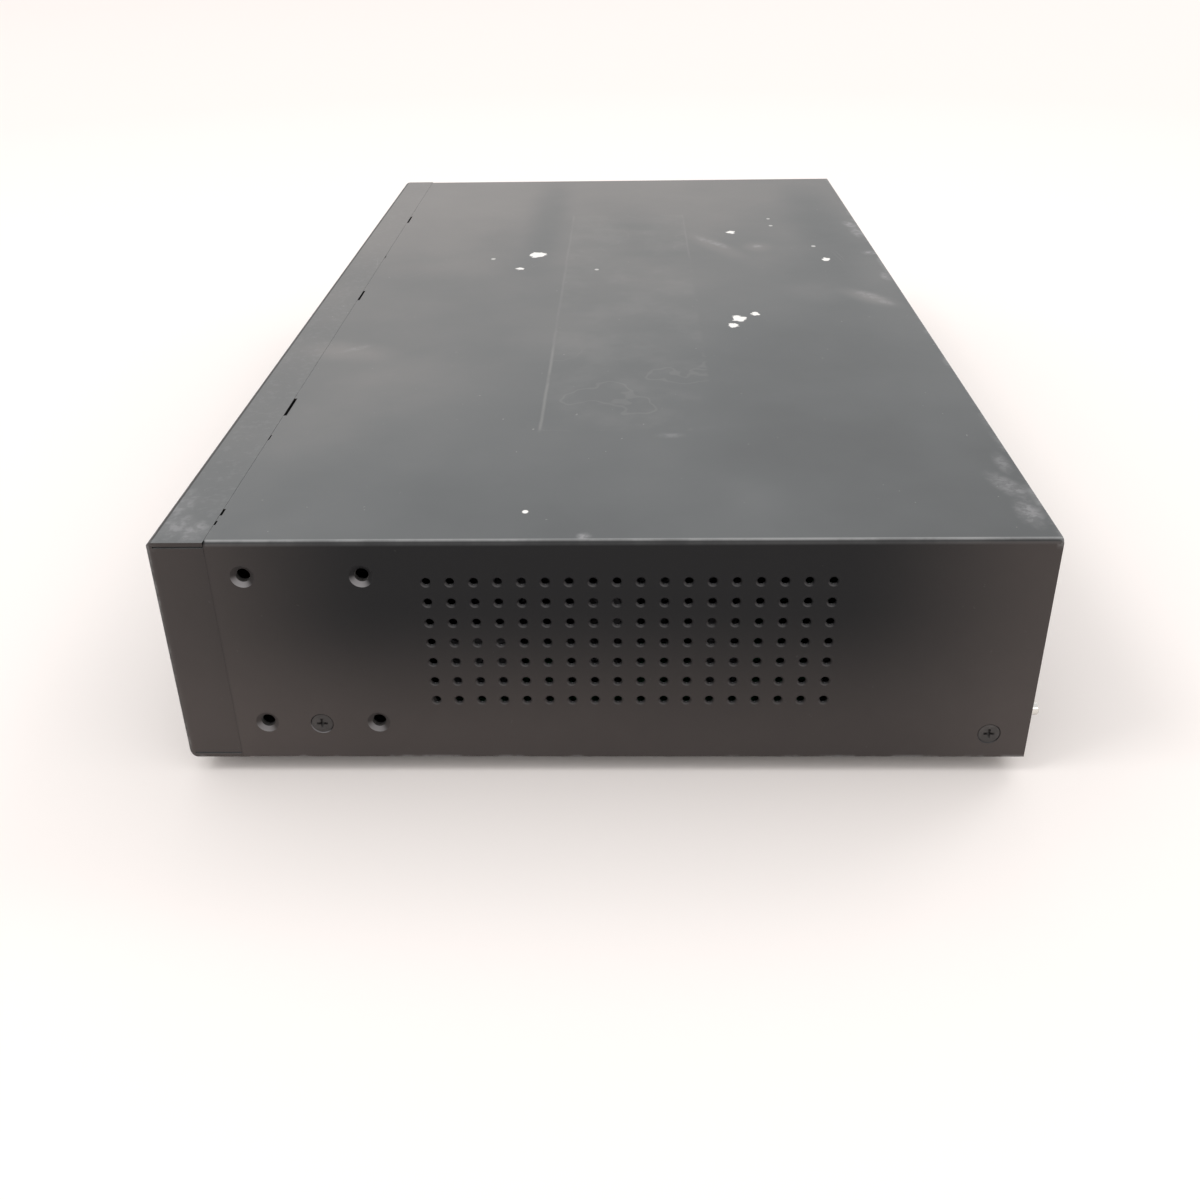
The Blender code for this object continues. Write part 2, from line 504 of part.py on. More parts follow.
def make_key_board():
    """The board behind the keys, with one push switch behind each key and the dial's encoder."""
    y0, y1 = KEYBOARD_Y, KEYBOARD_Y + 1.6
    board = box(-206, 168, y0, y1, Z0 + 6, Z1 - 8)
    spots = [(POWER_X, ZC), (SIDE_KEY_X, ROW_Z[0]), (SIDE_KEY_X, ROW_Z[1]), (PAD_X, ZC)]
    spots += [(x, z) for z in ROW_Z for x in NUM_X]
    spots += [(PAD_X + 15 * c, ZC + 15 * s) for c, s in ((1, 0), (0, 1), (-1, 0), (0, -1))]
    for x, z in spots:
        board = join(board, box(x - 3, x + 3, y0 - 3.5, y0 + 0.5, z - 3, z + 3))
    encoder = prism(circle(JOG_X, ZC, 11.0, 12), y0 - 6.0, y0 + 0.5, "Y")
    bore = prism(circle(JOG_X, ZC, 7.1, 16), y0 - 9, y0 - 0.5, "Y")
    board = join(board, cut(encoder, bore))
    board = join(board, box(8, 32, y1 - 0.5, y1 + 3.0, 42, 48))
    piece(board, "key_board", "circuit_board")


def usb_shell(cx, z0, z1, y_mouth, y_back, mouths, tongue=1.8):
    """A USB socket block: a metal shell with one mouth for each port and a tongue in each."""
    shell = box(cx - 6.6, cx + 6.6, min(y_mouth, y_back), max(y_mouth, y_back), z0, z1)
    inward = 1 if y_back > y_mouth else -1
    out = y_mouth - 3 * inward
    deep = y_mouth + 9.5 * inward
    for z in mouths:
        a, b = sorted((out, deep))
        shell = cut(shell, box(cx - 6.2, cx + 6.2, a, b, z - 2.5, z + 2.5))
        a, b = sorted((y_mouth + 1.2 * inward, deep + 1 * inward))
        shell = join(shell, box(cx - 5.2, cx + 5.2, a, b, z - 0.4, z - 0.4 + tongue))
    return shell


def make_front_usb():
    socket = usb_shell(USB_X, ZC - 2.95, ZC + 2.95, YF + 0.2, -104.0, (ZC,))
    carrier = box(USB_X - 14, USB_X + 14, -104.5, -102.9, ZC - 12, ZC + 8)
    piece(join(socket, carrier), "front_usb_socket", "bare_steel")


# ------------------------------------------------------------- rear sockets
def make_bnc_blocks():
    """Stacked video sockets: a moulded body with eight bayonet barrels."""
    tip = YR + REAR_REACH
    for name, columns in (("bnc_block_left", BNC_X[:4]), ("bnc_block_right", BNC_X[4:])):
        x0, x1 = columns[0] - 8.2, columns[-1] + 8.2
        block = box(x0, x1, 98.0, REAR_IN - GAP, BOARD_Z + GAP, 60.5)
        block = cut(block, box(x0 + 1.5, x1 - 1.5, 95.0, 111.5, BOARD_Z - 3, 59.0))
        for x in columns:
            for z in BNC_Z:
                s = REAR_IN - 1.0
                barrel = lathe([(0, s), (4.8, s), (4.8, tip), (4.1, tip), (4.1, REAR_OUT + 2.0), (2.3, REAR_OUT + 2.0), (2.3, tip - 1.4), (0, tip - 1.4)], 8, (x, 0, z), "Y")
                lugs = [box(x - 5.9, x - 4.3, tip - 4.6, tip - 2.8, z - 0.9, z + 0.9), box(x + 4.3, x + 5.9, tip - 4.6, tip - 2.8, z - 0.9, z + 0.9)]
                block = join(block, join(barrel, *lugs))
        piece(block, name, "nickel")


def make_rca_block():
    block = box(RCA_X[0] - 6.6, RCA_X[1] + 6.6, 100.0, REAR_IN - GAP, BOARD_Z + GAP, 59.0)
    for x in RCA_X:
        for z in BNC_Z:
            s = REAR_IN - 1.0
            block = join(block, lathe([(0, s), (4.15, s), (4.15, YR + 8.0), (3.4, YR + 8.0), (3.4, YR + 7.4), (1.7, YR + 7.4), (1.7, YR), (0, YR)], 12, (x, 0, z), "Y"))
    piece(block, "audio_rca_block", "socket_plastic")


def make_vga():
    z = 20.6
    body = box(VGA_X - 15.4, VGA_X + 15.4, 102.0, REAR_IN - GAP, BOARD_Z + GAP, z + 6.2)
    shell = prism(vga_outline(8.6, 7.5, 4.3, VGA_X, z), REAR_IN - 1.0, YR + 4.6, "Y")
    body = join(body, shell)
    for s in (-1, 1):
        body = join(body, rod(2.2, REAR_IN - 1, YR + 3.4, (VGA_X + s * 12.5, 0, z), "Y", 6))
    piece(body, "vga_socket", "nickel")


def make_hdmi():
    z0 = BOARD_Z + GAP
    shell = box(HDMI_X - 7.5, HDMI_X + 7.5, 105.0, REAR_OUT + 0.4, z0, z0 + 6.2)
    shell = cut(shell, box(HDMI_X - 7.0, HDMI_X + 7.0, 107.0, REAR_OUT + 4, z0 + 0.8, z0 + 5.5))
    shell = join(shell, box(HDMI_X - 5.6, HDMI_X + 5.6, 106.0, REAR_OUT - 1.0, z0 + 2.6, z0 + 3.6))
    piece(shell, "hdmi_socket", "nickel")


def make_lan():
    z0 = BOARD_Z + GAP
    shell = box(LAN_X - 8.0, LAN_X + 8.0, 99.0, REAR_OUT + 0.6, z0, z0 + 13.6)
    shell = cut(shell, box(LAN_X - 6.0, LAN_X + 6.0, 103.5, REAR_OUT + 4, z0 + 2.8, z0 + 11.2))
    shell = cut(shell, box(LAN_X - 3.1, LAN_X + 3.1, 106.0, REAR_OUT + 4, z0 + 1.0, z0 + 4.0))
    piece(shell, "lan_socket", "nickel")


def make_rear_usb():
    z0 = BOARD_Z + GAP
    piece(usb_shell(USBR_X, z0, z0 + 15.6, REAR_OUT + 0.6, 100.0, (z0 + 3.9, z0 + 11.6)), "usb_socket_rear", "nickel")


def make_terminals():
    """A small board on two posts that carries the pluggable alarm and camera-control terminals."""
    board = box(TERM_X0 - 2, TERM_X1 + 2, 84.0, 114.6, 41.0, 42.6)
    block = box(TERM_X0, TERM_X1, 103.0, YR + 5.5, 43.6 - 1.2, 54.7)
    for x in (TERM_X0 + 6, TERM_X1 - 6):
        board = join(board, rod(2.5, BOARD_Z + GAP, 41.5, (x, 90, 0), "Z", 8))
    block = cut(block, box(TERM_X0 + 1.0, TERM_X1 - 1.0, YR + 3.5, YR + 9, 50.5, 58))
    piece(join(board, block), "alarm_terminal_board", "terminal_green")


def make_inlet():
    """A three-pin mains inlet with screw ears."""
    y0, y1 = REAR_OUT + GAP, REAR_OUT + GAP + 1.8
    inlet = prism(round_rect(INLET_X, ZC, 50, 22, 5.0, 3), y0, y1, "Y")
    body = [(INLET_X - 13.8, ZC - 10.1), (INLET_X + 13.8, ZC - 10.1), (INLET_X + 13.8, ZC + 5.5), (INLET_X + 9.5, ZC + 10.1), (INLET_X - 9.5, ZC + 10.1), (INLET_X - 13.8, ZC + 5.5)]
    inlet = join(inlet, prism(body, 96.0, y0 + 1.0, "Y"))
    mouth = [(INLET_X - 12.2, ZC - 8.2), (INLET_X + 12.2, ZC - 8.2), (INLET_X + 12.2, ZC + 4.6), (INLET_X + 8.6, ZC + 8.2), (INLET_X - 8.6, ZC + 8.2), (INLET_X - 12.2, ZC + 4.6)]
    inlet = cut(inlet, prism(mouth, 101.0, y1 + 4, "Y"))
    for dx, dz in ((-7, -2), (7, -2), (0, 2)):
        x, z = INLET_X + dx, ZC + dz
        inlet = join(inlet, box(x - 1, x + 1, 100.0, 113.0, z - 2, z + 2))
    inlet = cut(inlet, *[rod(1.8, y0 - 3, y1 + 3, (INLET_X + s * 20, 0, ZC), "Y", 10) for s in (-1, 1)])
    piece(inlet, "mains_inlet", "socket_plastic")


def make_switch():
    """The mains rocker turns about a pin across its housing. It is modelled pressed down at its upper end."""
    y0, y1 = REAR_OUT + GAP, REAR_OUT + GAP + 1.5
    housing = prism(round_rect(SWITCH_X, ZC, 15, 22, 1.5, 2), y0, y1, "Y")
    housing = join(housing, box(SWITCH_X - 6.2, SWITCH_X + 6.2, 98.0, y0 + 0.8, ZC - 9.5, ZC + 9.5))
    housing = cut(housing, box(SWITCH_X - 5.1, SWITCH_X + 5.1, 108.4, y1 + 4, ZC - 8.6, ZC + 8.6))
    housing = cut(housing, rod(1.35, -9, 9, (SWITCH_X, ROCKER_PIVOT_Y, ZC), "X", 10))
    piece(housing, "switch_housing", "socket_plastic")
    p, half = ROCKER_PIVOT_Y, 7.4
    shape = [(5.2, -half), (3.6, -half / 2), (3.2, 0), (3.6, half / 2), (5.2, half), (0.5, half - 0.3), (-3.4, 2.6), (-3.4, -2.6), (0.5, -half + 0.3)]
    rocker = prism([(p + y, ZC + z) for y, z in shape], SWITCH_X - 4.7, SWITCH_X + 4.7, "X")
    rocker = join(rocker, rod(1.0, -5.9, 5.9, (SWITCH_X, p, ZC), "X", 10))
    at = Vector((SWITCH_X, p, ZC)) * MM
    turn = Matrix.Rotation(math.radians(ROCKER_TILT), 4, "X")
    rocker.data.transform(Matrix.Translation(at) @ turn @ Matrix.Translation(-at))
    piece(rocker, "power_rocker", "socket_plastic", (SWITCH_X, p, ZC))


# ------------------------------------------------------------- fan
def make_fan():
    y0, y1 = REAR_IN - GAP - 20, REAR_IN - GAP
    frame = prism(round_rect(FAN_X, ZC, 40, 40, 2.5, 2), y0, y1, "Y")
    frame = cut(frame, prism(circle(FAN_X, ZC, FAN_R, 28), y0 - 2, y1 + 2, "Y"))
    holes = [rod(1.8, y0 - 3, y1 + 3, (FAN_X + sx * 16, 0, ZC + sz * 16), "Y", 10) for sx in (-1, 1) for sz in (-1, 1)]
    frame = cut(frame, *holes)
    hub = rod(8.4, y0, y0 + 2.0, (FAN_X, 0, ZC), "Y", 20)
    for a in (45, 135):
        strut = box(-FAN_R - 0.8, FAN_R + 0.8, y0, y0 + 1.6, -1.1, 1.1)
        strut.data.transform(Matrix.Translation(Vector((FAN_X, 0, ZC)) * MM) @ Matrix.Rotation(math.radians(a), 4, "Y"))
        hub = join(hub, strut)
    frame = join(frame, hub)
    bearing = rod(2.6, y0 + 1.0, y0 + 8.0, (FAN_X, 0, ZC), "Y", 12)
    bearing = cut(bearing, rod(1.3, y0 + 2.6, y0 + 12.0, (FAN_X, 0, ZC), "Y", 12))
    piece(join(frame, bearing), "fan_frame", "socket_plastic")
    r0, r1 = y0 + 2.5, y1 - 1.2
    rotor = lathe([(0, r1), (7.0, r1), (8.0, r1 - 1.0), (8.0, r0), (6.8, r0), (6.8, r1 - 1.6), (1.0, r1 - 1.6), (1.0, y0 + 3.0), (0, y0 + 3.0)], 20, (FAN_X, 0, ZC), "Y")
    middle = (r0 + r1) / 2
    for i in range(7):
        blade = box(7.4, FAN_R - 0.7, -6.4, 6.4, -0.6, 0.6)
        blade.data.transform(Matrix.Rotation(math.radians(40), 4, "X"))
        blade.data.transform(Matrix.Translation(Vector((FAN_X, middle, ZC)) * MM) @ Matrix.Rotation(math.tau * i / 7, 4, "Y"))
        rotor = join(rotor, blade)
    piece(rotor, "fan_rotor", "socket_plastic", (FAN_X, middle, ZC))


# ------------------------------------------------------------- inside: boards, disk, supply, cables
def make_main_board():
    board = box(-212, 72, 14, 112.5, 12.3, BOARD_Z)
    parts = [(-60, -24, 42, 78, 1.8), (-100, -84, 40, 52, 1.1), (-100, -84, 58, 70, 1.1), (-8, 8, 40, 52, 1.1), (-8, 8, 58, 70, 1.1), (-150, -128, 50, 72, 1.5), (-190, -168, 50, 72, 1.5),
             (-50, -33, 17, 23, 8.0), (-78, -61, 17, 23, 8.0), (20, 46, 17, 23, 9.0), (12, 30, 28, 33, 6.0), (34, 62, 60, 78, 4.0)]
    for x0, x1, y0, y1, h in parts:
        board = join(board, box(x0, x1, y0, y1, BOARD_Z - 0.5, BOARD_Z + h))
    for x, y in ((54, 40), (54, 50), (-120, 34), (-112, 84)):
        board = join(board, rod(4.0, BOARD_Z - 0.5, BOARD_Z + 12, (x, y, 0), "Z", 10))
    board = join(board, rod(10.0, BOARD_Z - 0.5, BOARD_Z + 4.5, (-78, 84, 0), "Z", 12))
    piece(board, "main_board", "circuit_board")
    z = BOARD_Z + 1.8 + GAP
    sink = box(-62, -22, 40, 80, z, z + 3)
    for i in range(9):
        x = -61.9 + i * 4.85
        sink = join(sink, box(x, x + 1.2, 40, 80, z + 2, z + 16))
    piece(sink, "heat_sink", "aluminium")


def make_disk():
    """A 3.5 inch drive lying across the case, with a second place beside it left empty."""
    z = Z0 + SHEET + GAP
    disk = box(-205, -58, -96, 5.6, z, z + 24.6, 1.0)
    lid = prism([(-202, -93), (-92, -93), (-84, -80), (-84, -10), (-92, 2.6), (-202, 2.6)], z + 24.0, z + 26.0, "Z")
    disk = join(disk, lid, rod(14.0, z + 25.5, z + 26.4, (-150, -45, 0), "Z", 20))
    disk = cut(disk, box(-64, -55, -86, -46, z + 2, z + 9))
    piece(disk, "hard_disk", "aluminium")


def make_supply():
    """An open-frame mains supply."""
    z0, z1 = 12.3, 13.9
    board = box(104, 212, -48, 87, z0, z1)
    blocks = [(120, 160, 0, 36, 31), (112, 118, -40, 60, 28), (168, 174, -40, 20, 28), (182, 206, 60, 82, 16), (180, 204, -44, -24, 20), (108, 128, 66, 84, 9)]
    for x0, x1, y0, y1, h in blocks:
        board = join(board, box(x0, x1, y0, y1, z1 - 0.5, z1 + h))
    for x, y, r, h in ((190, 0, 11, 32), (190, 34, 9, 28), (134, -26, 6, 22), (150, -26, 6, 22), (140, 56, 8, 20)):
        board = join(board, rod(r, z1 - 0.5, z1 + h, (x, y, 0), "Z", 14))
    piece(board, "power_supply", "circuit_board")


def smooth_route(points, n):
    """n points on a smooth curve through the given ones."""
    pts = [Vector(p) for p in points]
    ext = [2 * pts[0] - pts[1], *pts, 2 * pts[-1] - pts[-2]]
    dense = []
    for i in range(1, len(ext) - 2):
        p0, p1, p2, p3 = ext[i - 1 : i + 3]
        for k in range(12):
            t = k / 12
            dense.append(0.5 * ((2 * p1) + (p2 - p0) * t + (2 * p0 - 5 * p1 + 4 * p2 - p3) * t * t + (3 * p1 - p0 - 3 * p2 + p3) * t**3))
    dense.append(pts[-1])
    along = [0.0]
    for a, b in zip(dense, dense[1:]):
        along.append(along[-1] + (b - a).length)
    out, j = [], 0
    for i in range(n):
        want = along[-1] * i / (n - 1)
        while j < len(along) - 2 and along[j + 1] < want:
            j += 1
        f = (want - along[j]) / max(along[j + 1] - along[j], 1e-9)
        out.append(dense[j].lerp(dense[j + 1], min(1.0, f)))
    return out


def tube(points, radius, name, look, n):
    curve = bpy.data.curves.new(name, "CURVE")
    curve.dimensions = "3D"
    curve.bevel_depth = radius * MM
    curve.bevel_resolution = 2
    curve.use_fill_caps = True
    route = smooth_route(points, n)
    spline = curve.splines.new("POLY")
    spline.points.add(len(route) - 1)
    for point, at in zip(spline.points, route):
        point.co = (*(at * MM), 1.0)
    made = bpy.data.objects.new(name, curve)
    bpy.context.scene.collection.objects.link(made)
    made.data.materials.append(material(look))
    made.parent = ROOT
    return made


def make_cables():
    tube([(-57.0, -66, 12), (-48, -66, 12), (-43, -52, 13), (-42, -20, 15), (-42, 6, 18), (-42, 10, 25), (-42, 16, 29), (-42, 20, 28), (-42, 20.4, 23)], 1.9, "sata_cable", "cable_jacket", 22)
    tube([(103.6, 75, 24), (98, 75, 24.6), (84, 68, 26), (72, 67, 27), (60, 69, 27.5), (52, 70, 25), (50, 70, 19)], 2.2, "supply_harness", "cable_jacket", 14)
    path = [(-103.1, 45.0), (-96.0, 45.0), (-88.0, 47.0), (-20.0, 47.0), (8.0, 45.0), (24.0, 36.0), (30.4, 26.0), (30.6, 20.3)]
    t = 0.5
    up, down = [], []
    for i, (y, z) in enumerate(path):
        a = path[max(0, i - 1)]
        b = path[min(len(path) - 1, i + 1)]
        d = Vector((b[0] - a[0], b[1] - a[1])).normalized()
        up.append((y - d.y * t, z + d.x * t))
        down.append((y + d.y * t, z - d.x * t))
    piece(prism(up + list(reversed(down)), 12.5, 27.5, "X"), "front_ribbon_cable", "ribbon_grey")


make_top_cover()
make_base_pan()
make_rear_panel()
make_front_panel()
make_feet()
make_side_screws()
make_rear_screws()
make_keys()
make_dial()
make_front_window()
make_key_board()
make_front_usb()
make_bnc_blocks()
make_rca_block()
make_vga()
make_hdmi()
make_lan()
make_rear_usb()
make_terminals()
make_inlet()
make_switch()
make_fan()
make_main_board()
make_disk()
make_supply()
make_cables()
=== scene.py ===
"""Looks of the rack-width video recorder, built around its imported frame. Lengths in this file are millimetres
unless they say otherwise; MM turns them into metres."""

import math
import random

import bmesh
import bpy
from mathutils import Matrix, Vector


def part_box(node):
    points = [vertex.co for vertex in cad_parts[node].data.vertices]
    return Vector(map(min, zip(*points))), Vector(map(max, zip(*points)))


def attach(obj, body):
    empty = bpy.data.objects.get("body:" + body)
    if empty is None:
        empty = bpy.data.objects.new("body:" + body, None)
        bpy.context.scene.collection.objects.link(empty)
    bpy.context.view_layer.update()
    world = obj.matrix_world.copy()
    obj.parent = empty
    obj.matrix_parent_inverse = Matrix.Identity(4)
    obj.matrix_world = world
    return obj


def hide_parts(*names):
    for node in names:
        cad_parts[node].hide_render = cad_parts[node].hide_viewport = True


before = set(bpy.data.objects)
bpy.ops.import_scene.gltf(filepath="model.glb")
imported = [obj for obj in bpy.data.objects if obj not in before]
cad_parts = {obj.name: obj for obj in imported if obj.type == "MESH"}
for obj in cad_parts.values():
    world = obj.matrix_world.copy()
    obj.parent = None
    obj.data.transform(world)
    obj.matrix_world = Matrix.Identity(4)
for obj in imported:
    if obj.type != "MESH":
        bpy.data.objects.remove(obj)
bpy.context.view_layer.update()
MM = 0.001


def span(node):
    lo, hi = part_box(node)
    return [c / MM for c in lo], [c / MM for c in hi]


# ------------------------------------------------------------- places, read from the frame
COVER_LO, COVER_HI = span("top_cover")
FRONT_LO, FRONT_HI = span("front_panel")
PANEL_LO, PANEL_HI = span("rear_panel")
HX = COVER_HI[0]
Z0, Z1 = FRONT_LO[2], FRONT_HI[2]
ZC = (Z0 + Z1) / 2
YF, YR = FRONT_LO[1], COVER_HI[1]
FLANGE = FRONT_HI[1] - YF
COVER_Y0 = FRONT_HI[1] + 0.45
SEAM_TOP, SEAM_SIDE = 0.08, 0.04
SHEET, FRONT_SHEET, GAP = 1.0, 1.2, 0.3
FRONT_IN = YF + FRONT_SHEET
REAR_OUT = PANEL_HI[1]
REAR_IN = REAR_OUT - SHEET
BOARD_Z = 13.9
KEYBOARD_Y = -108.0
KEY_FACE = YF - 1.4


# ------------------------------------------------------------- camera, light, floor
def make_stage():
    cam = bpy.data.cameras.new("camera")
    cam.lens, cam.sensor_width = 37.73, 36.0
    cam.clip_start = 0.01
    holder = bpy.data.objects.new("camera", cam)
    right, up, back = (-0.01957, 0.99971, -0.01401), (-0.49810, 0.00240, 0.86712), (0.86690, 0.02394, 0.49791)
    place = Matrix(((right[0], up[0], back[0], 0.50472), (right[1], up[1], back[1], 0.00783), (right[2], up[2], back[2], 0.21937), (0, 0, 0, 1)))
    holder.matrix_world = place
    bpy.context.scene.collection.objects.link(holder)
    bpy.context.scene.camera = holder

    bpy.context.scene.view_settings.view_transform = "Standard"
    bpy.context.scene.view_settings.look = "None"

    world = bpy.data.worlds.new("studio")
    bpy.context.scene.world = world
    world.use_nodes = True
    nt = world.node_tree
    nt.nodes.clear()
    out = nt.nodes.new("ShaderNodeOutputWorld")
    back_ = nt.nodes.new("ShaderNodeBackground")
    tex = nt.nodes.new("ShaderNodeTexCoord")
    split = nt.nodes.new("ShaderNodeSeparateXYZ")
    ramp = nt.nodes.new("ShaderNodeValToRGB")
    ramp.color_ramp.elements[0].position = 0.0
    ramp.color_ramp.elements[0].color = (0.955, 0.902, 0.869, 1)
    ramp.color_ramp.elements[1].position = 0.9
    ramp.color_ramp.elements[1].color = (0.88, 0.88, 0.89, 1)
    ramp.color_ramp.elements.new(0.10).color = (1.0, 0.947, 0.913, 1)
    nt.links.new(tex.outputs["Generated"], split.inputs[0])
    nt.links.new(split.outputs["Z"], ramp.inputs[0])
    nt.links.new(ramp.outputs[0], back_.inputs["Color"])
    back_.inputs["Strength"].default_value = 1.03
    nt.links.new(back_.outputs[0], out.inputs[0])

    def area(name, at, aim, size, watts, tint=(1, 1, 1)):
        lamp = bpy.data.lights.new(name, "AREA")
        lamp.shape, lamp.size, lamp.size_y = "RECTANGLE", size[0], size[1]
        lamp.energy, lamp.color = watts, tint
        made = bpy.data.objects.new(name, lamp)
        made.location = at
        made.rotation_euler = (Vector(aim) - Vector(at)).to_track_quat("-Z", "Y").to_euler()
        bpy.context.scene.collection.objects.link(made)

    area("key_light", (1.5, -3.9, 5.1), (0, 0, 0.04), (2.1, 1.6), 62)
    area("fill_light", (-3.6, 3.9, 4.8), (0, 0, 0.04), (2.4, 1.8), 46)
    area("side_light", (5.7, 1.5, 3.6), (0, 0, 0.04), (2.1, 1.8), 30)

    bm = bmesh.new()
    bmesh.ops.create_grid(bm, x_segments=1, y_segments=1, size=26.0)
    mesh = bpy.data.meshes.new("floor")
    bm.to_mesh(mesh)
    bm.free()
    floor = bpy.data.objects.new("floor", mesh)
    floor.location = (0, 0, -0.0002)
    bpy.context.scene.collection.objects.link(floor)
    paint = bpy.data.materials.new("floor_pale")
    paint.use_nodes = True
    shader = paint.node_tree.nodes["Principled BSDF"]
    nt = paint.node_tree
    away = nt.nodes.new("ShaderNodeVectorMath")
    away.operation = "LENGTH"
    nt.links.new(nt.nodes.new("ShaderNodeTexCoord").outputs["Object"], away.inputs[0])
    metres = nt.nodes.new("ShaderNodeMath")
    metres.operation = "DIVIDE"
    metres.inputs[1].default_value = 20.0
    nt.links.new(away.outputs["Value"], metres.inputs[0])
    pale = nt.nodes.new("ShaderNodeValToRGB")
    pale.color_ramp.elements[0].position = 0.02
    pale.color_ramp.elements[0].color = (1.0, 0.950, 0.918, 1)
    pale.color_ramp.elements[1].position = 0.40
    pale.color_ramp.elements[1].color = (1.0, 0.950, 0.920, 1)
    for position, level in ((0.055, 0.935), (0.13, 0.93)):
        pale.color_ramp.elements.new(position).color = (level, level * 0.934, level * 0.901, 1)
    nt.links.new(metres.outputs[0], pale.inputs[0])
    nt.links.new(pale.outputs[0], shader.inputs["Base Color"])
    shader.inputs["Roughness"].default_value = 0.95
    shader.inputs["Specular IOR Level"].default_value = 0.1
    mesh.materials.append(paint)


# ------------------------------------------------------------- materials
class Look:
    """A node tree under one Principled shader, built from short calls."""

    def __init__(self, name, colour=(0.5, 0.5, 0.5), rough=0.5, metal=0.0, **sockets):
        self.mat = bpy.data.materials.new(name)
        self.mat.use_nodes = True
        self.nt = self.mat.node_tree
        self.shader = self.nt.nodes["Principled BSDF"]
        self.shader.inputs["Base Color"].default_value = (*colour, 1)
        self.shader.inputs["Roughness"].default_value = rough
        self.shader.inputs["Metallic"].default_value = metal
        for key, value in sockets.items():
            self.shader.inputs[key.replace("_", " ")].default_value = value
        self.coords = self.node("ShaderNodeTexCoord").outputs["Object"]
        self.mat.diffuse_color = (*colour, 1)

    def node(self, kind, props=None, **inputs):
        made = self.nt.nodes.new(kind)
        for key, value in (props or {}).items():
            setattr(made, key, value)
        for key, value in inputs.items():
            socket = made.inputs[int(key[1:])] if key[0] == "i" and key[1:].isdigit() else made.inputs[key.replace("_", " ")]
            self.feed(socket, value)
        return made

    def feed(self, socket, value):
        if isinstance(value, bpy.types.NodeSocket):
            self.nt.links.new(value, socket)
        elif isinstance(value, tuple) and len(value) == 3 and socket.type == "RGBA":
            socket.default_value = (*value, 1)
        else:
            socket.default_value = value

    def math(self, op, a, b=0.0, clamp=False):
        return self.node("ShaderNodeMath", {"operation": op, "use_clamp": clamp}, i0=a, i1=b).outputs[0]

    def noise(self, scale, detail=3.0, rough=0.55, coords=None, offset=None, distortion=0.0):
        vector = coords or self.coords
        if offset:
            vector = self.node("ShaderNodeVectorMath", {"operation": "ADD"}, i0=vector, i1=offset).outputs[0]
        return self.node("ShaderNodeTexNoise", None, Vector=vector, Scale=scale, Detail=detail, Roughness=rough, Distortion=distortion).outputs["Fac"]

    def stretch(self, factors, turn=0.0, coords=None):
        return self.node("ShaderNodeMapping", {"vector_type": "TEXTURE"}, Vector=coords or self.coords, Rotation=(0.0, 0.0, math.radians(turn)), Scale=factors).outputs[0]

    def band(self, value, low, high):
        """0 below low, 1 above high, smooth between; reversed when low is above high."""
        return self.node("ShaderNodeMapRange", {"interpolation_type": "SMOOTHSTEP"}, Value=value, i1=low, i2=high).outputs[0]

    def mix(self, factor, a, b):
        made = self.node("ShaderNodeMix", {"data_type": "RGBA"})
        self.feed(made.inputs[0], factor)
        self.feed(made.inputs[6], a if not isinstance(a, tuple) else (*a, 1))
        self.feed(made.inputs[7], b if not isinstance(b, tuple) else (*b, 1))
        return made.outputs[2]

    def xyz(self, vector):
        made = self.node("ShaderNodeSeparateXYZ", None, i0=vector)
        return made.outputs[0], made.outputs[1], made.outputs[2]

    def near(self, at, radius, edge, wobble=None, flat=True):
        """1 inside a spot at a point in millimetres, falling to 0 at its edge."""
        vector = self.coords
        if flat:
            vector = self.node("ShaderNodeVectorMath", {"operation": "MULTIPLY"}, i0=vector, i1=(1, 1, 0)).outputs[0]
            at = (at[0], at[1], 0)
        far = self.node("ShaderNodeVectorMath", {"operation": "DISTANCE"}, i0=vector, i1=tuple(c * MM for c in at)).outputs["Value"]
        if wobble is not None:
            far = self.math("ADD", far, wobble)
        return self.band(far, (radius + edge) * MM, (radius - edge) * MM)

    def smear(self, x, y, half_x, half_y, turn=0.0):
        """1 in the middle of a turned ellipse seen from above, falling softly to 0 at its edge; sizes in millimetres."""
        flat_ = self.node("ShaderNodeVectorMath", {"operation": "MULTIPLY"}, i0=self.coords, i1=(1, 1, 0)).outputs[0]
        local = self.node("ShaderNodeMapping", {"vector_type": "TEXTURE"}, Vector=flat_, Location=(x * MM, y * MM, 0.0), Rotation=(0.0, 0.0, math.radians(turn)), Scale=(half_x * MM, half_y * MM, 1.0)).outputs[0]
        far = self.node("ShaderNodeVectorMath", {"operation": "LENGTH"}, i0=local).outputs["Value"]
        return self.band(far, 1.0, 0.12)

    def slab(self, value, low, high, soft):
        """1 between low and high, fading over soft; in metres."""
        return self.math("MULTIPLY", self.band(value, low - soft, low + soft), self.band(value, high + soft, high - soft))

    def most(self, *values):
        total = values[0]
        for value in values[1:]:
            total = self.math("MAXIMUM", total, value)
        return total

    def bump(self, height, strength, distance, normal=None):
        made = self.node("ShaderNodeBump", None, Strength=strength, Distance=distance, Height=height)
        if normal is not None:
            self.nt.links.new(normal, made.inputs["Normal"])
        return made.outputs[0]

    def out(self, colour=None, rough=None, metal=None, normal=None, **more):
        for key, value in (("Base Color", colour), ("Roughness", rough), ("Metallic", metal), ("Normal", normal)):
            if value is not None:
                self.feed(self.shader.inputs[key], value)
        return self.mat


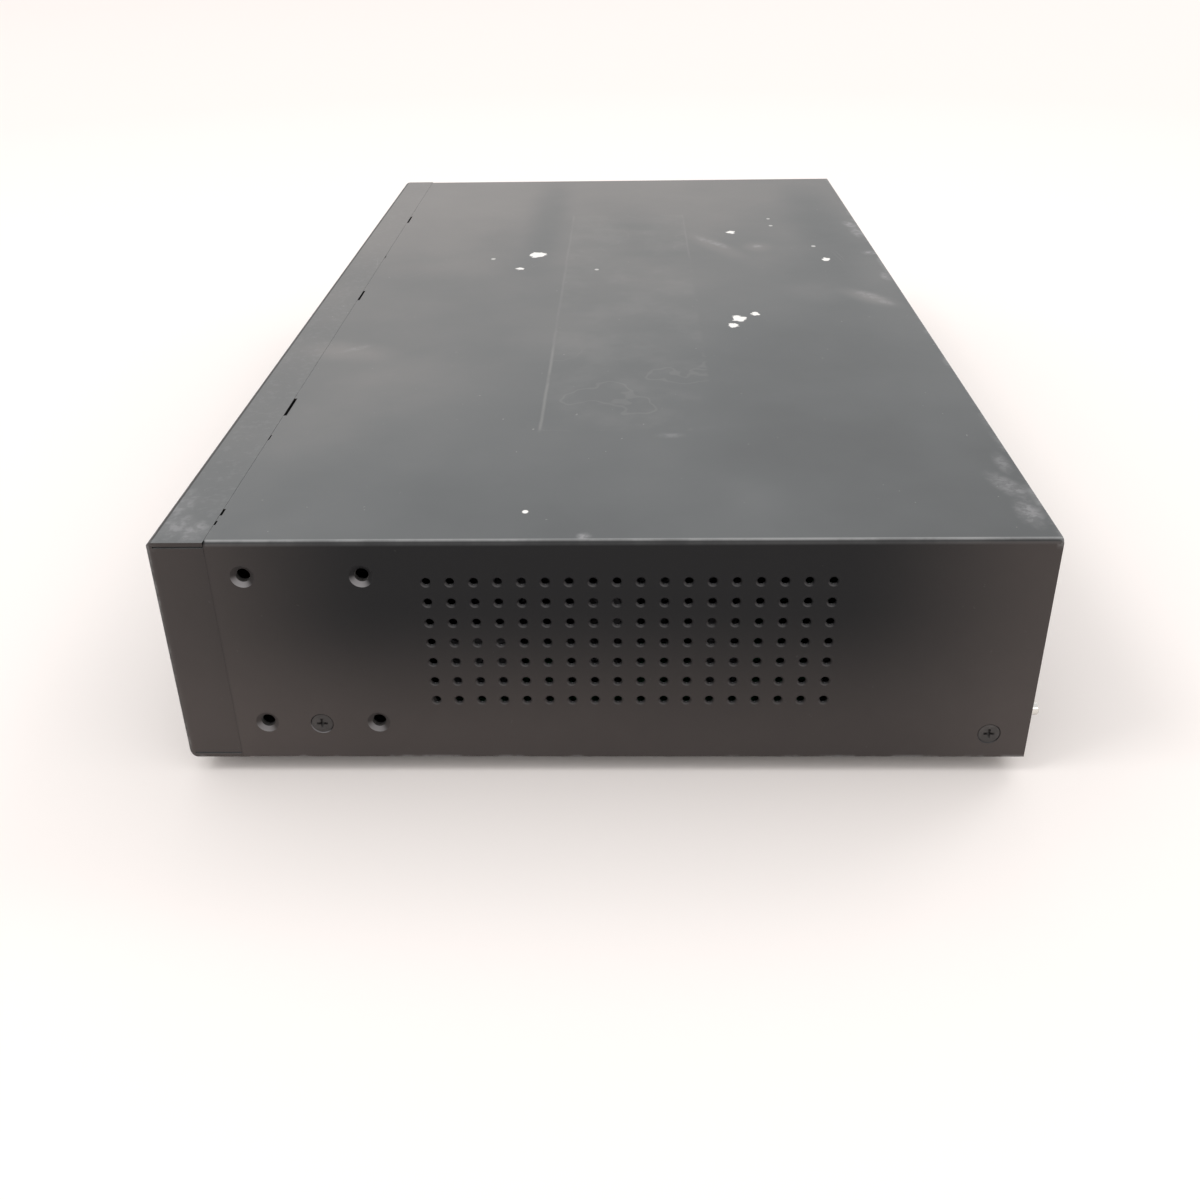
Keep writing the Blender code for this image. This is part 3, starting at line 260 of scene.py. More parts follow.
CHIPS = [
    (-61.4, -33.2, 4.0), (-55.0, -52.6, 1.1), (-38.6, -39.6, 1.7), (-36.1, -6.2, 1.0), (-99.2, 55.7, 2.3), (-111.6, 75.9, 1.0),
    (-125.6, 76.0, 0.9), (-72.3, 91.4, 1.1), (-49.7, 94.0, 2.3), (34.8, 49.6, 3.3), (28.9, 56.5, 1.7), (43.3, 46.7, 2.0), (202.5, -20.1, 0.9),
]
# soft pale or dark areas on the top: x, y, half sizes along x and y, turn, strength
CLOUDS = [
    (70, -93, 14, 24, -20, 0.55), (104, -70, 52, 34, 10, 0.30), (140, -88, 40, 22, 0, 0.25), (-75, 47, 34, 9, 25, 0.45), (-72, 66, 12, 9, 0, 0.45),
    (8, 103, 20, 9, 35, 0.75), (0, 84, 22, 18, 0, 0.30), (-150, -80, 90, 60, 0, 0.22), (-150, 40, 90, 40, 0, 0.25), (-60, -70, 60, 26, 15, 0.25),
    (55, -20, 44, 26, 0, 0.18), (-15, 20, 60, 30, 0, 0.20), (190, 40, 26, 12, 20, 0.15), (160, 98, 40, 16, 0, 0.12),
]
SHADES = [
    (-150, -32, 110, 15, 0, 0.62), (-60, -32, 60, 14, 0, 0.30), (-120, 100, 120, 22, 0, 0.62), (-20, 88, 60, 30, 0, 0.40), (45, 78, 50, 46, 0, 0.42),
    (95, 60, 60, 60, 0, 0.25), (170, 70, 60, 60, 0, 0.22), (-112, 12, 12, 26, 0, 0.22), (-62, 20, 10, 24, 0, 0.20), (205, -20, 26, 70, 0, 0.18),
]
# small pale rubs near the edges and corners: x, y, half sizes, turn, strength
RUBS = [
    (-112, 114, 10, 4, 10, 0.7), (-98, 115, 14, 4, 0, 0.6), (-60, 115, 5, 5, 0, 0.6), (-22, 115, 8, 3, 0, 0.6), (188, 112, 14, 5, 20, 0.5), (204, 113, 12, 5, 0, 0.6),
    (172, 114, 10, 3, 0, 0.4), (210, -112, 10, 7, 0, 0.42), (198, -114, 14, 5, 0, 0.36), (213, -106, 8, 5, 0, 0.5), (-78, 48, 13, 3.6, 30, 0.45), (-86, 42, 10, 3.0, 20, 0.35),
    (-73, 66, 4, 3, 0, 0.7), (6, 104, 12, 4.5, 35, 0.4), (14, 108, 8, 3.5, 35, 0.35), (67, -91, 8, 3.0, -50, 0.3), (217, -4, 3, 2.5, 0, 0.9), (150, 20, 3, 6, 0, 0.3),
]


def case_paint():
    """Semi-matt black powder coat: fine texture, a pale layer on top that is dust mixed with painted sheen, painted
    floor reflection low on the sides and ends, rubbed folds with a painted highlight along the top fold, painted
    highlights in the dished hole rims, paint chips, light scratches.
    """
    m = Look("case_paint", (0.0095, 0.0095, 0.0112), 0.46)
    m.shader.inputs["Specular IOR Level"].default_value = 0.16
    x, y, z = m.xyz(m.coords)
    nx, ny, nz = m.xyz(m.node("ShaderNodeNewGeometry").outputs["Normal"])
    anx, any_ = m.math("ABSOLUTE", nx), m.math("ABSOLUTE", ny)
    ax = m.math("ABSOLUTE", x)
    up = m.band(nz, 0.955, 0.997)
    sideways = m.band(anx, 0.6, 0.9)
    endways = m.band(any_, 0.6, 0.9)
    big = m.noise(9.0, 3.0, 0.5)
    mid = m.noise(30.0, 4.0, 0.55)
    small = m.noise(160.0, 4.0, 0.6)
    fine = m.noise(420.0, 3.0, 0.6)
    grain = m.noise(1500.0, 2.0, 0.5)
    spots = m.noise(620.0, 2.0, 0.4)
    # a pale uneven layer on the top, partly thin dust and partly painted sheen standing for the bright surroundings
    # reflected at a grazing angle, heavier towards the front and the left-hand end; the dust mask below carries both
    top_sheen_and_dust = m.math("ADD", m.math("ADD", 0.575, m.math("MULTIPLY", y, -0.60)), m.math("MULTIPLY", x, -0.70))
    top_sheen_and_dust = m.math("ADD", top_sheen_and_dust, m.math("MULTIPLY", m.math("SUBTRACT", big, 0.5), 0.16))
    top_sheen_and_dust = m.math("ADD", top_sheen_and_dust, m.math("MULTIPLY", m.math("SUBTRACT", mid, 0.5), 0.12))
    ragged = m.math("ADD", 0.65, m.math("MULTIPLY", m.noise(75.0, 4.0, 0.6), 0.7))
    for cx, cy, hx, hy, turn, level in CLOUDS:
        top_sheen_and_dust = m.math("ADD", top_sheen_and_dust, m.math("MULTIPLY", m.math("MULTIPLY", m.smear(cx, cy, hx, hy, turn), ragged), level * 0.20))
    for cx, cy, hx, hy, turn, level in SHADES:
        top_sheen_and_dust = m.math("SUBTRACT", top_sheen_and_dust, m.math("MULTIPLY", m.smear(cx, cy, hx, hy, turn), level * 0.16))
    top_sheen_and_dust = m.math("MULTIPLY", top_sheen_and_dust, m.math("ADD", 0.95, m.math("MULTIPLY", small, 0.10)))
    dust = m.math("MULTIPLY", top_sheen_and_dust, up, True)
    # painted reflection: the sides are lightened with a warm tint low down and towards both ends, standing for the pale
    # floor reflected in the paint; the front and rear faces are lightened low down the same way, with noisy patches
    front_end = m.math("MULTIPLY", m.band(y, -0.058, -0.125), 0.68)
    rear_end = m.math("MULTIPLY", m.band(y, 0.062, 0.130), 0.70)
    low = m.math("MULTIPLY", m.band(z, 0.056, 0.010), m.math("ADD", 0.60, m.math("MULTIPLY", y, -1.2)))
    reflection_free = m.math("MULTIPLY", m.math("SUBTRACT", 1.0, front_end), m.math("MULTIPLY", m.math("SUBTRACT", 1.0, rear_end), m.math("SUBTRACT", 1.0, low)))
    floor_reflection = m.math("MULTIPLY", m.math("SUBTRACT", 1.0, reflection_free), sideways)
    end_reflection = m.math("ADD", m.math("MULTIPLY", m.band(z, 0.056, 0.008), 0.40), m.math("MULTIPLY", m.band(m.noise(24.0, 4.0, 0.6), 0.5, 0.8), 0.20))
    floor_reflection = m.math("ADD", floor_reflection, m.math("MULTIPLY", end_reflection, endways))
    floor_reflection = m.math("MULTIPLY", floor_reflection, m.math("ADD", 0.88, m.math("MULTIPLY", m.noise(48.0, 5.0, 0.6), 0.24)), True)
    # the top layer's colour: dust with painted sheen, shifting with the dust mask
    powder = m.mix(m.band(dust, 0.40, 0.80), (0.282, 0.300, 0.305), (0.318, 0.310, 0.303))
    base = m.mix(dust, (0.0095, 0.0098, 0.0108), powder)
    floor_reflection = m.math("MULTIPLY", floor_reflection, m.math("SUBTRACT", 1.0, m.math("MULTIPLY", m.math("SUBTRACT", 1.0, m.band(y, (COVER_Y0 - 0.3) * MM, (COVER_Y0 + 0.3) * MM)), m.math("MULTIPLY", sideways, 0.13))))
    base = m.mix(floor_reflection, base, (0.078, 0.0665, 0.0625))
    # the fold between top and side gets a narrow pale line, partly rubbed paint and partly a painted highlight where
    # the bend, picked by its normal, faces the light; other folds and edges rubbed here and there
    on_cover = m.band(y, (COVER_Y0 - 0.3) * MM, (COVER_Y0 + 0.3) * MM)
    fold = m.math("MULTIPLY", m.math("ADD", m.math("MULTIPLY", m.band(nz, 0.78, 0.975), 0.86), m.math("MULTIPLY", m.band(nz, 0.10, 0.60), 0.14)), m.math("MULTIPLY", m.band(ax, (HX - 2.0) * MM, (HX - 1.5) * MM), m.band(z, (Z1 - 2.0) * MM, (Z1 - 1.2) * MM)))
    fold = m.math("MULTIPLY", m.math("MULTIPLY", fold, on_cover), m.math("ADD", 0.62, m.math("MULTIPLY", m.band(m.noise(60.0, 5.0, 0.7), 0.35, 0.65), 0.38)))
    rounded = m.band(m.math("SUBTRACT", 1.0, m.most(anx, any_, m.math("ABSOLUTE", nz))), 0.05, 0.20)
    edge_f = m.math("MULTIPLY", m.math("MULTIPLY", rounded, m.math("SUBTRACT", 1.0, on_cover)), m.band(m.noise(80.0, 5.0, 0.7), 0.46, 0.70))
    high = m.band(z, (Z1 - 0.4) * MM, (Z1 - 0.2) * MM)
    edge_r = m.math("MULTIPLY", m.math("MULTIPLY", m.band(y, (YR - 2.4) * MM, (YR - 0.2) * MM), high), m.band(m.noise(60.0, 5.0, 0.7), 0.48, 0.68))
    low_edge = m.math("MULTIPLY", m.band(z, (Z0 + 1.0) * MM, (Z0 + 0.2) * MM), m.band(m.noise(90.0, 4.0, 0.6), 0.5, 0.62))
    wear_and_fold_highlight = m.most(fold, m.math("MULTIPLY", edge_f, 0.55), m.math("MULTIPLY", edge_r, 0.55), m.math("MULTIPLY", low_edge, 0.35))
    corners = m.most(m.near((HX, YF, Z1), 2.2, 2.2, flat=False), m.near((-HX, YF, Z1), 2.5, 2.5, flat=False), m.near((HX, YR, Z1), 1.8, 1.5, flat=False), m.near((-HX, YR, Z1), 2.5, 2.0, flat=False))
    wear_and_fold_highlight = m.most(wear_and_fold_highlight, m.math("MULTIPLY", m.math("MULTIPLY", corners, 0.6), m.band(m.noise(240.0, 4.0, 0.7), 0.42, 0.66)))
    base = m.mix(m.math("MULTIPLY", wear_and_fold_highlight, 0.8), base, (0.325, 0.33, 0.33))
    # pale mottled rubs
    mottle = m.band(fine, 0.40, 0.62)
    rubs = None
    for cx, cy, hx, hy, turn, level in RUBS:
        spot = m.math("MULTIPLY", m.smear(cx, cy, hx, hy, turn), level)
        rubs = spot if rubs is None else m.most(rubs, spot)
    rubs = m.math("MULTIPLY", m.math("MULTIPLY", rubs, m.math("ADD", 0.35, m.math("MULTIPLY", mottle, 0.65))), up)
    base = m.mix(m.math("MULTIPLY", rubs, 0.62), base, (0.46, 0.455, 0.465))
    # the front flange is a little more speckled than the cover
    flange = m.math("MULTIPLY", m.math("MULTIPLY", m.math("SUBTRACT", 1.0, on_cover), up), m.band(fine, 0.50, 0.68))
    base = m.mix(m.math("MULTIPLY", flange, 0.07), base, (0.42, 0.42, 0.43))
    # painted highlight: the dished lower edges of the countersunk and punched holes are lightened where they face the
    # light from above, most in the ear holes and a little more higher up
    lean = m.math("ADD", m.math("MULTIPLY", nz, 0.93), m.math("MULTIPLY", ny, 0.37))
    dish = m.math("MULTIPLY", m.band(anx, 0.97, 0.85), m.math("MULTIPLY", m.band(ax, (HX - 1.2) * MM, (HX - 1.0) * MM), m.band(z, (Z1 - 2.5) * MM, (Z1 - 3.5) * MM)))
    ears = m.math("MULTIPLY", m.band(y, (YF + 62.0) * MM, (YF + 60.0) * MM), m.band(y, (YF + 16.0) * MM, (YF + 18.0) * MM))
    hole_rim_highlight = m.math("MULTIPLY", m.math("MULTIPLY", m.band(lean, 0.16, 0.66), dish), m.math("ADD", 0.24, m.math("MULTIPLY", ears, 0.76)))
    hole_rim_highlight = m.math("MULTIPLY", hole_rim_highlight, m.math("ADD", 0.72, m.math("MULTIPLY", m.band(z, 0.020, 0.060), 0.28)))
    base = m.mix(m.math("MULTIPLY", hole_rim_highlight, 0.85), base, (0.27, 0.264, 0.27))
    # fine scratches on the top
    lines = None
    for turn, fx, fy, off, level in ((8.0, 0.9, 0.010, (0.3, 0.1, 0), 0.735), (63.0, 0.7, 0.009, (1.3, 0.7, 0), 0.745), (-38.0, 0.8, 0.011, (2.1, 0.4, 0), 0.75)):
        stroke = m.noise(6.0, 2.0, 0.5, m.stretch((fx, fy, 1.0), turn), off)
        stroke = m.math("MULTIPLY", m.band(stroke, level, level + 0.02), m.band(m.noise(14.0, 2.0, 0.5, None, off), 0.5, 0.62))
        lines = stroke if lines is None else m.most(lines, stroke)
    lines = m.math("MULTIPLY", lines, up)
    base = m.mix(m.math("MULTIPLY", lines, 0.22), base, (0.36, 0.36, 0.35))
    # a plain strip where something was once stuck on: a clear straight front edge, a faint rear one, a few bars across
    length = m.slab(x, -0.136, 0.146, 0.002)
    wander = m.math("MULTIPLY", m.math("SUBTRACT", mid, 0.5), 0.0012)
    bent = m.math("ADD", y, wander)
    edge_a = m.math("MULTIPLY", m.slab(bent, -0.0201, -0.0192, 0.0004), 1.0)
    edge_b = m.math("MULTIPLY", m.slab(bent, 0.0340, 0.0347, 0.0004), 0.5)
    edge_a = m.math("MULTIPLY", edge_a, m.math("ADD", 0.45, m.math("MULTIPLY", m.band(x, 0.060, 0.075), 0.55)))
    edge_b = m.math("MULTIPLY", edge_b, m.band(x, -0.020, -0.040))
    tape = m.math("MULTIPLY", length, m.slab(y, -0.0195, 0.0343, 0.001))
    torn = m.noise(30.0, 3.0, 0.5, None, (0.4, 0.9, 0.0))
    ridge = m.band(m.math("ABSOLUTE", m.math("SUBTRACT", torn, 0.5)), 0.012, 0.004)
    ridge = m.math("MULTIPLY", m.math("MULTIPLY", ridge, tape), m.most(m.band(x, 0.066, 0.078), m.math("MULTIPLY", m.band(x, -0.030, -0.050), 0.5)))
    strip = m.most(m.math("MULTIPLY", m.most(edge_a, edge_b), length), m.math("MULTIPLY", ridge, 0.35))
    strip = m.math("MULTIPLY", m.math("MULTIPLY", strip, up), m.math("ADD", 0.15, m.math("MULTIPLY", m.band(m.noise(21.0, 4.0, 0.6, None, (0.7, 0.2, 0.0)), 0.40, 0.58), 0.85)))
    base = m.mix(m.math("MULTIPLY", strip, 0.26), base, (0.40, 0.395, 0.38))
    inside = m.math("MULTIPLY", m.math("MULTIPLY", tape, up), m.band(m.noise(52.0, 3.0, 0.6, None, (0.1, 0.9, 0.0)), 0.42, 0.70))
    base = m.mix(m.math("MULTIPLY", inside, 0.07), base, (0.40, 0.395, 0.38))
    # tiny pale specks, thicker on top
    specks = m.math("MULTIPLY", m.band(spots, 0.775, 0.80), m.math("ADD", m.math("MULTIPLY", up, 0.45), 0.03))
    base = m.mix(m.math("MULTIPLY", specks, 0.6), base, (0.60, 0.59, 0.56))
    # white chips with ragged outlines
    wobble = m.math("MULTIPLY", m.math("SUBTRACT", fine, 0.5), 0.0052)
    chips = None
    for cx, cy, r in CHIPS:
        squeezed = m.node("ShaderNodeVectorMath", {"operation": "MULTIPLY"}, i0=m.coords, i1=(0.8, 1, 0)).outputs[0]
        far = m.node("ShaderNodeVectorMath", {"operation": "DISTANCE"}, i0=squeezed, i1=(cx * 0.8 * MM, cy * MM, 0)).outputs["Value"]
        if r > 1.4:
            far = m.math("ADD", far, wobble)
        spot = m.band(far, (r * 0.90 + 0.2) * MM, (r * 0.90 - 0.2) * MM)
        if r < 1.2 and cx < 100:
            spot = m.math("MULTIPLY", spot, 0.55)
        chips = spot if chips is None else m.most(chips, spot)
    chips = m.math("MULTIPLY", chips, up)
    base = m.mix(chips, base, (0.92, 0.91, 0.88))
    rough = m.math("ADD", 0.38, m.math("MULTIPLY", m.math("ADD", dust, floor_reflection), 0.22))
    rough = m.math("ADD", rough, m.math("MULTIPLY", small, 0.10))
    height = m.math("ADD", m.math("MULTIPLY", grain, 0.5), m.math("MULTIPLY", m.noise(3200.0, 1.0, 0.5), 0.25))
    height = m.math("SUBTRACT", height, m.math("MULTIPLY", lines, 0.4))
    height = m.math("ADD", height, m.math("MULTIPLY", strip, 0.7))
    wave = m.bump(big, 0.10, 0.004)
    normal = m.bump(m.math("ADD", height, m.math("MULTIPLY", chips, -0.8)), 0.22, 0.00012, wave)
    return m.out(base, rough, None, normal)


def base_paint():
    """A dark coat on the tray, thin and dull, with rubbed and dusty patches."""
    m = Look("base_paint", (0.055, 0.054, 0.053), 0.48)
    m.shader.inputs["Specular IOR Level"].default_value = 0.16
    cloud = m.band(m.noise(30.0, 5.0, 0.65), 0.45, 0.8)
    rub = m.band(m.noise(140.0, 4.0, 0.6), 0.62, 0.75)
    base = m.mix(m.math("MULTIPLY", cloud, 0.35), (0.052, 0.051, 0.050), (0.085, 0.079, 0.074))
    base = m.mix(m.math("MULTIPLY", rub, 0.2), base, (0.14, 0.14, 0.14))
    return m.out(base, m.math("ADD", 0.40, m.math("MULTIPLY", cloud, 0.2)), None, m.bump(m.noise(1500.0, 2.0, 0.5), 0.2, 0.00012))


def plain_metal(name, colour, rough, grain=900.0, stain=(0.4, 0.38, 0.34), metal=1.0, brushed=None, amount=0.3):
    m = Look(name, colour, rough, metal)
    cloud = m.band(m.noise(70.0, 5.0, 0.65), 0.45, 0.8)
    fine = m.noise(grain, 2.0, 0.5)
    vector = m.stretch(brushed) if brushed else None
    streak = m.noise(500.0, 3.0, 0.6, vector) if brushed else fine
    base = m.mix(m.math("MULTIPLY", cloud, amount), colour, stain)
    base = m.mix(m.math("MULTIPLY", m.band(streak, 0.45, 0.7), 0.15), base, tuple(c * 0.7 for c in colour))
    r = m.math("ADD", rough - 0.06, m.math("ADD", m.math("MULTIPLY", cloud, 0.18), m.math("MULTIPLY", streak, 0.12)))
    return m.out(base, r, None, m.bump(streak, 0.12, 0.00008))


def plain_plastic(name, colour, rough, grain=1400.0, strength=0.18, dust=0.12, pale=(0.25, 0.24, 0.22), **sockets):
    m = Look(name, colour, rough, 0.0, **sockets)
    cloud = m.band(m.noise(60.0, 5.0, 0.65), 0.42, 0.8)
    fine = m.noise(grain, 2.0, 0.5)
    rub = m.band(m.noise(210.0, 4.0, 0.6), 0.55, 0.8)
    base = m.mix(m.math("MULTIPLY", cloud, dust), colour, pale)
    base = m.mix(m.math("MULTIPLY", rub, dust * 0.7), base, tuple(c * 0.6 for c in colour))
    r = m.math("ADD", rough - 0.05, m.math("ADD", m.math("MULTIPLY", cloud, 0.12), m.math("MULTIPLY", rub, 0.08)))
    return m.out(base, r, None, m.bump(fine, strength, 0.0001))


def board_look(name, colour, copper):
    """Solder mask with tracks, pads and dark components on its raised parts."""
    m = Look(name, colour, 0.42)
    x, y, z = m.xyz(m.coords)
    tracks = m.node("ShaderNodeTexBrick", {"offset": 0.37, "squash": 0.6, "squash_frequency": 3}, Vector=m.coords, Scale=210.0, Mortar_Size=0.035, Color1=(0, 0, 0), Color2=(0, 0, 0), Mortar=(1, 1, 1)).outputs["Fac"]
    pads = m.node("ShaderNodeTexVoronoi", {"feature": "F1"}, Vector=m.coords, Scale=330.0, Randomness=0.35).outputs["Distance"]
    pads = m.math("MULTIPLY", m.band(pads, 0.24, 0.20), m.band(m.noise(40.0), 0.5, 0.55))
    base = m.mix(m.math("MULTIPLY", tracks, 0.45), colour, copper)
    base = m.mix(pads, base, (0.72, 0.72, 0.70))
    raised = m.band(z, (BOARD_Z + 0.15) * MM, (BOARD_Z + 0.35) * MM) if name == "board_main" else m.band(m.math("ABSOLUTE", m.math("SUBTRACT", y, (KEYBOARD_Y + 0.8) * MM)), 0.0009, 0.0011)
    parts = m.mix(m.band(m.noise(75.0, 0.0), 0.5, 0.52), (0.018, 0.018, 0.02), (0.10, 0.10, 0.11))
    base = m.mix(raised, base, parts)
    return m.out(base, m.math("ADD", 0.32, m.math("MULTIPLY", m.noise(300.0), 0.2)), None, m.bump(m.math("ADD", tracks, pads), 0.25, 0.00008))


def turned_metal(name, colour, centre):
    """Turned and anodised: fine rings about an axis along Y through centre."""
    m = Look(name, colour, 0.30, 1.0)
    off = m.node("ShaderNodeVectorMath", {"operation": "SUBTRACT"}, i0=m.coords, i1=(centre[0] * MM, 0, centre[1] * MM)).outputs[0]
    x, y, z = m.xyz(off)
    r = m.math("SQRT", m.math("ADD", m.math("MULTIPLY", x, x), m.math("MULTIPLY", z, z)))
    rings = m.math("SINE", m.math("MULTIPLY", r, 14000.0))
    smear = m.noise(120.0, 4.0, 0.6)
    base = m.mix(m.math("MULTIPLY", m.band(smear, 0.45, 0.75), 0.35), colour, tuple(c * 0.55 for c in colour))
    rough = m.math("ADD", 0.24, m.math("ADD", m.math("MULTIPLY", rings, 0.03), m.math("MULTIPLY", smear, 0.14)))
    return m.out(base, rough, None, m.bump(rings, 0.10, 0.00003))


def smoked_look():
    m = Look("smoked_acrylic", (0.012, 0.007, 0.009), 0.07, 0.0, Coat_Weight=0.4, Coat_Roughness=0.04)
    smear = m.band(m.noise(55.0, 5.0, 0.7, distortion=1.5), 0.50, 0.85)
    hair = m.band(m.noise(6.0, 2.0, 0.5, m.stretch((0.9, 0.02, 0.02), 0.0)), 0.66, 0.70)
    return m.out(m.mix(m.math("MULTIPLY", smear, 0.10), (0.012, 0.007, 0.009), (0.12, 0.11, 0.10)), m.math("ADD", 0.06, m.math("MULTIPLY", m.most(smear, hair), 0.20)), None, m.bump(smear, 0.04, 0.0002))


def ribbon_look():
    m = Look("ribbon_cable", (0.42, 0.43, 0.44), 0.55)
    x, y, z = m.xyz(m.coords)
    ridges = m.math("SINE", m.math("MULTIPLY", x, 2 * math.pi / 0.00127))
    first = m.band(x, 0.0138, 0.0136)
    # painted shade: the grooves between the wires are darker
    base = m.mix(m.math("MULTIPLY", m.band(ridges, -0.4, -0.9), 0.4), (0.42, 0.43, 0.44), (0.20, 0.20, 0.21))
    base = m.mix(first, base, (0.45, 0.05, 0.04))
    return m.out(base, m.math("ADD", 0.48, m.math("MULTIPLY", m.noise(200.0), 0.15)), None, m.bump(ridges, 0.5, 0.0002))


LOOKS = {}


def make_looks():
    LOOKS.update(
        paint=case_paint(),
        tray=base_paint(),
        steel=plain_metal("zinc_steel", (0.50, 0.51, 0.52), 0.38, stain=(0.33, 0.33, 0.31), amount=0.4),
        nickel=plain_metal("nickel_plate", (0.70, 0.685, 0.65), 0.24, stain=(0.45, 0.42, 0.36)),
        gold=plain_metal("gold_contact", (0.80, 0.56, 0.22), 0.25, stain=(0.6, 0.45, 0.25)),
        screw=plain_metal("screw_black", (0.085, 0.083, 0.08), 0.40, stain=(0.25, 0.23, 0.20), metal=0.85, amount=0.5),
        side_screw=plain_metal("screw_side", (0.040, 0.037, 0.036), 0.5, stain=(0.15, 0.138, 0.132), metal=0.35, amount=0.75),
        key=plain_plastic("key_plastic", (0.043, 0.045, 0.050), 0.46, dust=0.16),
        print=plain_plastic("key_print", (0.70, 0.70, 0.68), 0.55, dust=0.2, pale=(0.45, 0.44, 0.42), strength=0.05),
        socket=plain_plastic("socket_plastic", (0.018, 0.018, 0.020), 0.40, dust=0.10),
        grey=plain_plastic("grey_plastic", (0.12, 0.12, 0.125), 0.5),
        white=plain_plastic("white_insulator", (0.72, 0.70, 0.65), 0.42, pale=(0.5, 0.47, 0.42)),
        red=plain_plastic("red_plastic", (0.42, 0.02, 0.018), 0.38, pale=(0.3, 0.12, 0.1)),
        blue=plain_plastic("blue_plastic", (0.02, 0.09, 0.42), 0.38, pale=(0.1, 0.15, 0.3)),
        green=plain_plastic("terminal_green", (0.025, 0.24, 0.085), 0.42, pale=(0.15, 0.3, 0.2)),
        lens_green=plain_plastic("lens_green", (0.05, 0.32, 0.08), 0.16, strength=0.02, Coat_Weight=0.5),
        lens_amber=plain_plastic("lens_amber", (0.55, 0.28, 0.03), 0.16, strength=0.02, Coat_Weight=0.5),
        lens_red=plain_plastic("lens_red", (0.45, 0.03, 0.03), 0.16, strength=0.02, Coat_Weight=0.5),
        rubber=plain_plastic("foot_rubber", (0.016, 0.016, 0.016), 0.82, grain=900.0, strength=0.35, dust=0.22),
        window=smoked_look(),
        board=board_look("board_main", (0.012, 0.10, 0.045), (0.05, 0.20, 0.09)),
        keyboard=board_look("board_keys", (0.012, 0.10, 0.045), (0.05, 0.20, 0.09)),
        aluminium=plain_metal("cast_aluminium", (0.72, 0.73, 0.74), 0.36, stain=(0.5, 0.5, 0.5), grain=700.0),
        cable=plain_plastic("cable_jacket", (0.34, 0.03, 0.025), 0.45, dust=0.1),
        ribbon=ribbon_look(),
        guide=plain_plastic("light_guide", (0.70, 0.73, 0.75), 0.22, strength=0.05, Transmission_Weight=0.3),
        dial=turned_metal("dial_metal", (0.33, 0.335, 0.35), (126.0, ZC)),
    )


# ------------------------------------------------------------- building tools
def link(mesh, name="tool"):
    made = bpy.data.objects.new(name, mesh)
    bpy.context.scene.collection.objects.link(made)
    return made


def drop(made):
    mesh = made.data
    bpy.data.objects.remove(made)
    bpy.data.meshes.remove(mesh)


def from_bmesh(bm):
    bmesh.ops.recalc_face_normals(bm, faces=bm.faces)
    mesh = bpy.data.meshes.new("tool")
    bm.to_mesh(mesh)
    bm.free()
    return link(mesh)


def box(x0, x1, y0, y1, z0, z1, bevel=0.0, segments=2):
    bm = bmesh.new()
    bmesh.ops.create_cube(bm, size=1.0)
    size = Vector((x1 - x0, y1 - y0, z1 - z0)) * MM
    centre = Vector((x1 + x0, y1 + y0, z1 + z0)) * (MM / 2)
    bmesh.ops.transform(bm, verts=bm.verts, matrix=Matrix.Translation(centre) @ Matrix.Diagonal((*size, 1.0)))
    if bevel:
        bmesh.ops.bevel(bm, geom=list(bm.edges), offset=bevel * MM, segments=segments, profile=0.5, affect="EDGES", clamp_overlap=True)
    return from_bmesh(bm)


def lathe(profile, steps, at, axis="Y"):
    bm = bmesh.new()
    verts = [bm.verts.new((r * MM, 0.0, d * MM)) for r, d in profile]
    edges = [bm.edges.new(pair) for pair in zip(verts, verts[1:])]
    bmesh.ops.spin(bm, geom=verts + edges, cent=(0, 0, 0), axis=(0, 0, 1), angle=math.tau, steps=steps, use_merge=True, use_duplicate=False)
    bmesh.ops.remove_doubles(bm, verts=bm.verts, dist=1e-7)
    bmesh.ops.dissolve_degenerate(bm, edges=bm.edges, dist=1e-7)
    turn = {"Z": Matrix.Identity(4), "Y": Matrix.Rotation(-math.pi / 2, 4, "X"), "X": Matrix.Rotation(math.pi / 2, 4, "Y")}[axis]
    bmesh.ops.transform(bm, verts=bm.verts, matrix=Matrix.Translation(Vector(at) * MM) @ turn)
    return from_bmesh(bm)


def rod(radius, d0, d1, at, axis="Y", steps=24, ease=0.0):
    if ease:
        return lathe([(0, d0), (radius - ease, d0), (radius, d0 + ease), (radius, d1 - ease), (radius - ease, d1), (0, d1)], steps, at, axis)
    return lathe([(0, d0), (radius, d0), (radius, d1), (0, d1)], steps, at, axis)


def prism(points, d0, d1, axis="Y"):
    place = {"Y": lambda a, b, d: (a, d, b), "X": lambda a, b, d: (d, a, b), "Z": lambda a, b, d: (a, b, d)}[axis]
    bm = bmesh.new()
    face = bm.faces.new([bm.verts.new(Vector(place(a, b, d0)) * MM) for a, b in points])
    out = bmesh.ops.extrude_face_region(bm, geom=[face])
    moved = [g for g in out["geom"] if isinstance(g, bmesh.types.BMVert)]
    bmesh.ops.translate(bm, verts=moved, vec=Vector(place(0, 0, d1 - d0)) * MM)
    return from_bmesh(bm)


def loft(outlines):
    """A closed solid through outlines of equal point counts, each (points in x and z, y)."""
    bm = bmesh.new()
    rings = [[bm.verts.new(Vector((a, y, b)) * MM) for a, b in points] for points, y in outlines]
    n = len(rings[0])
    for one, two in zip(rings, rings[1:]):
        for i in range(n):
            bm.faces.new((one[i], one[(i + 1) % n], two[(i + 1) % n], two[i]))
    bm.faces.new(rings[0])
    bm.faces.new(list(reversed(rings[-1])))
    return from_bmesh(bm)


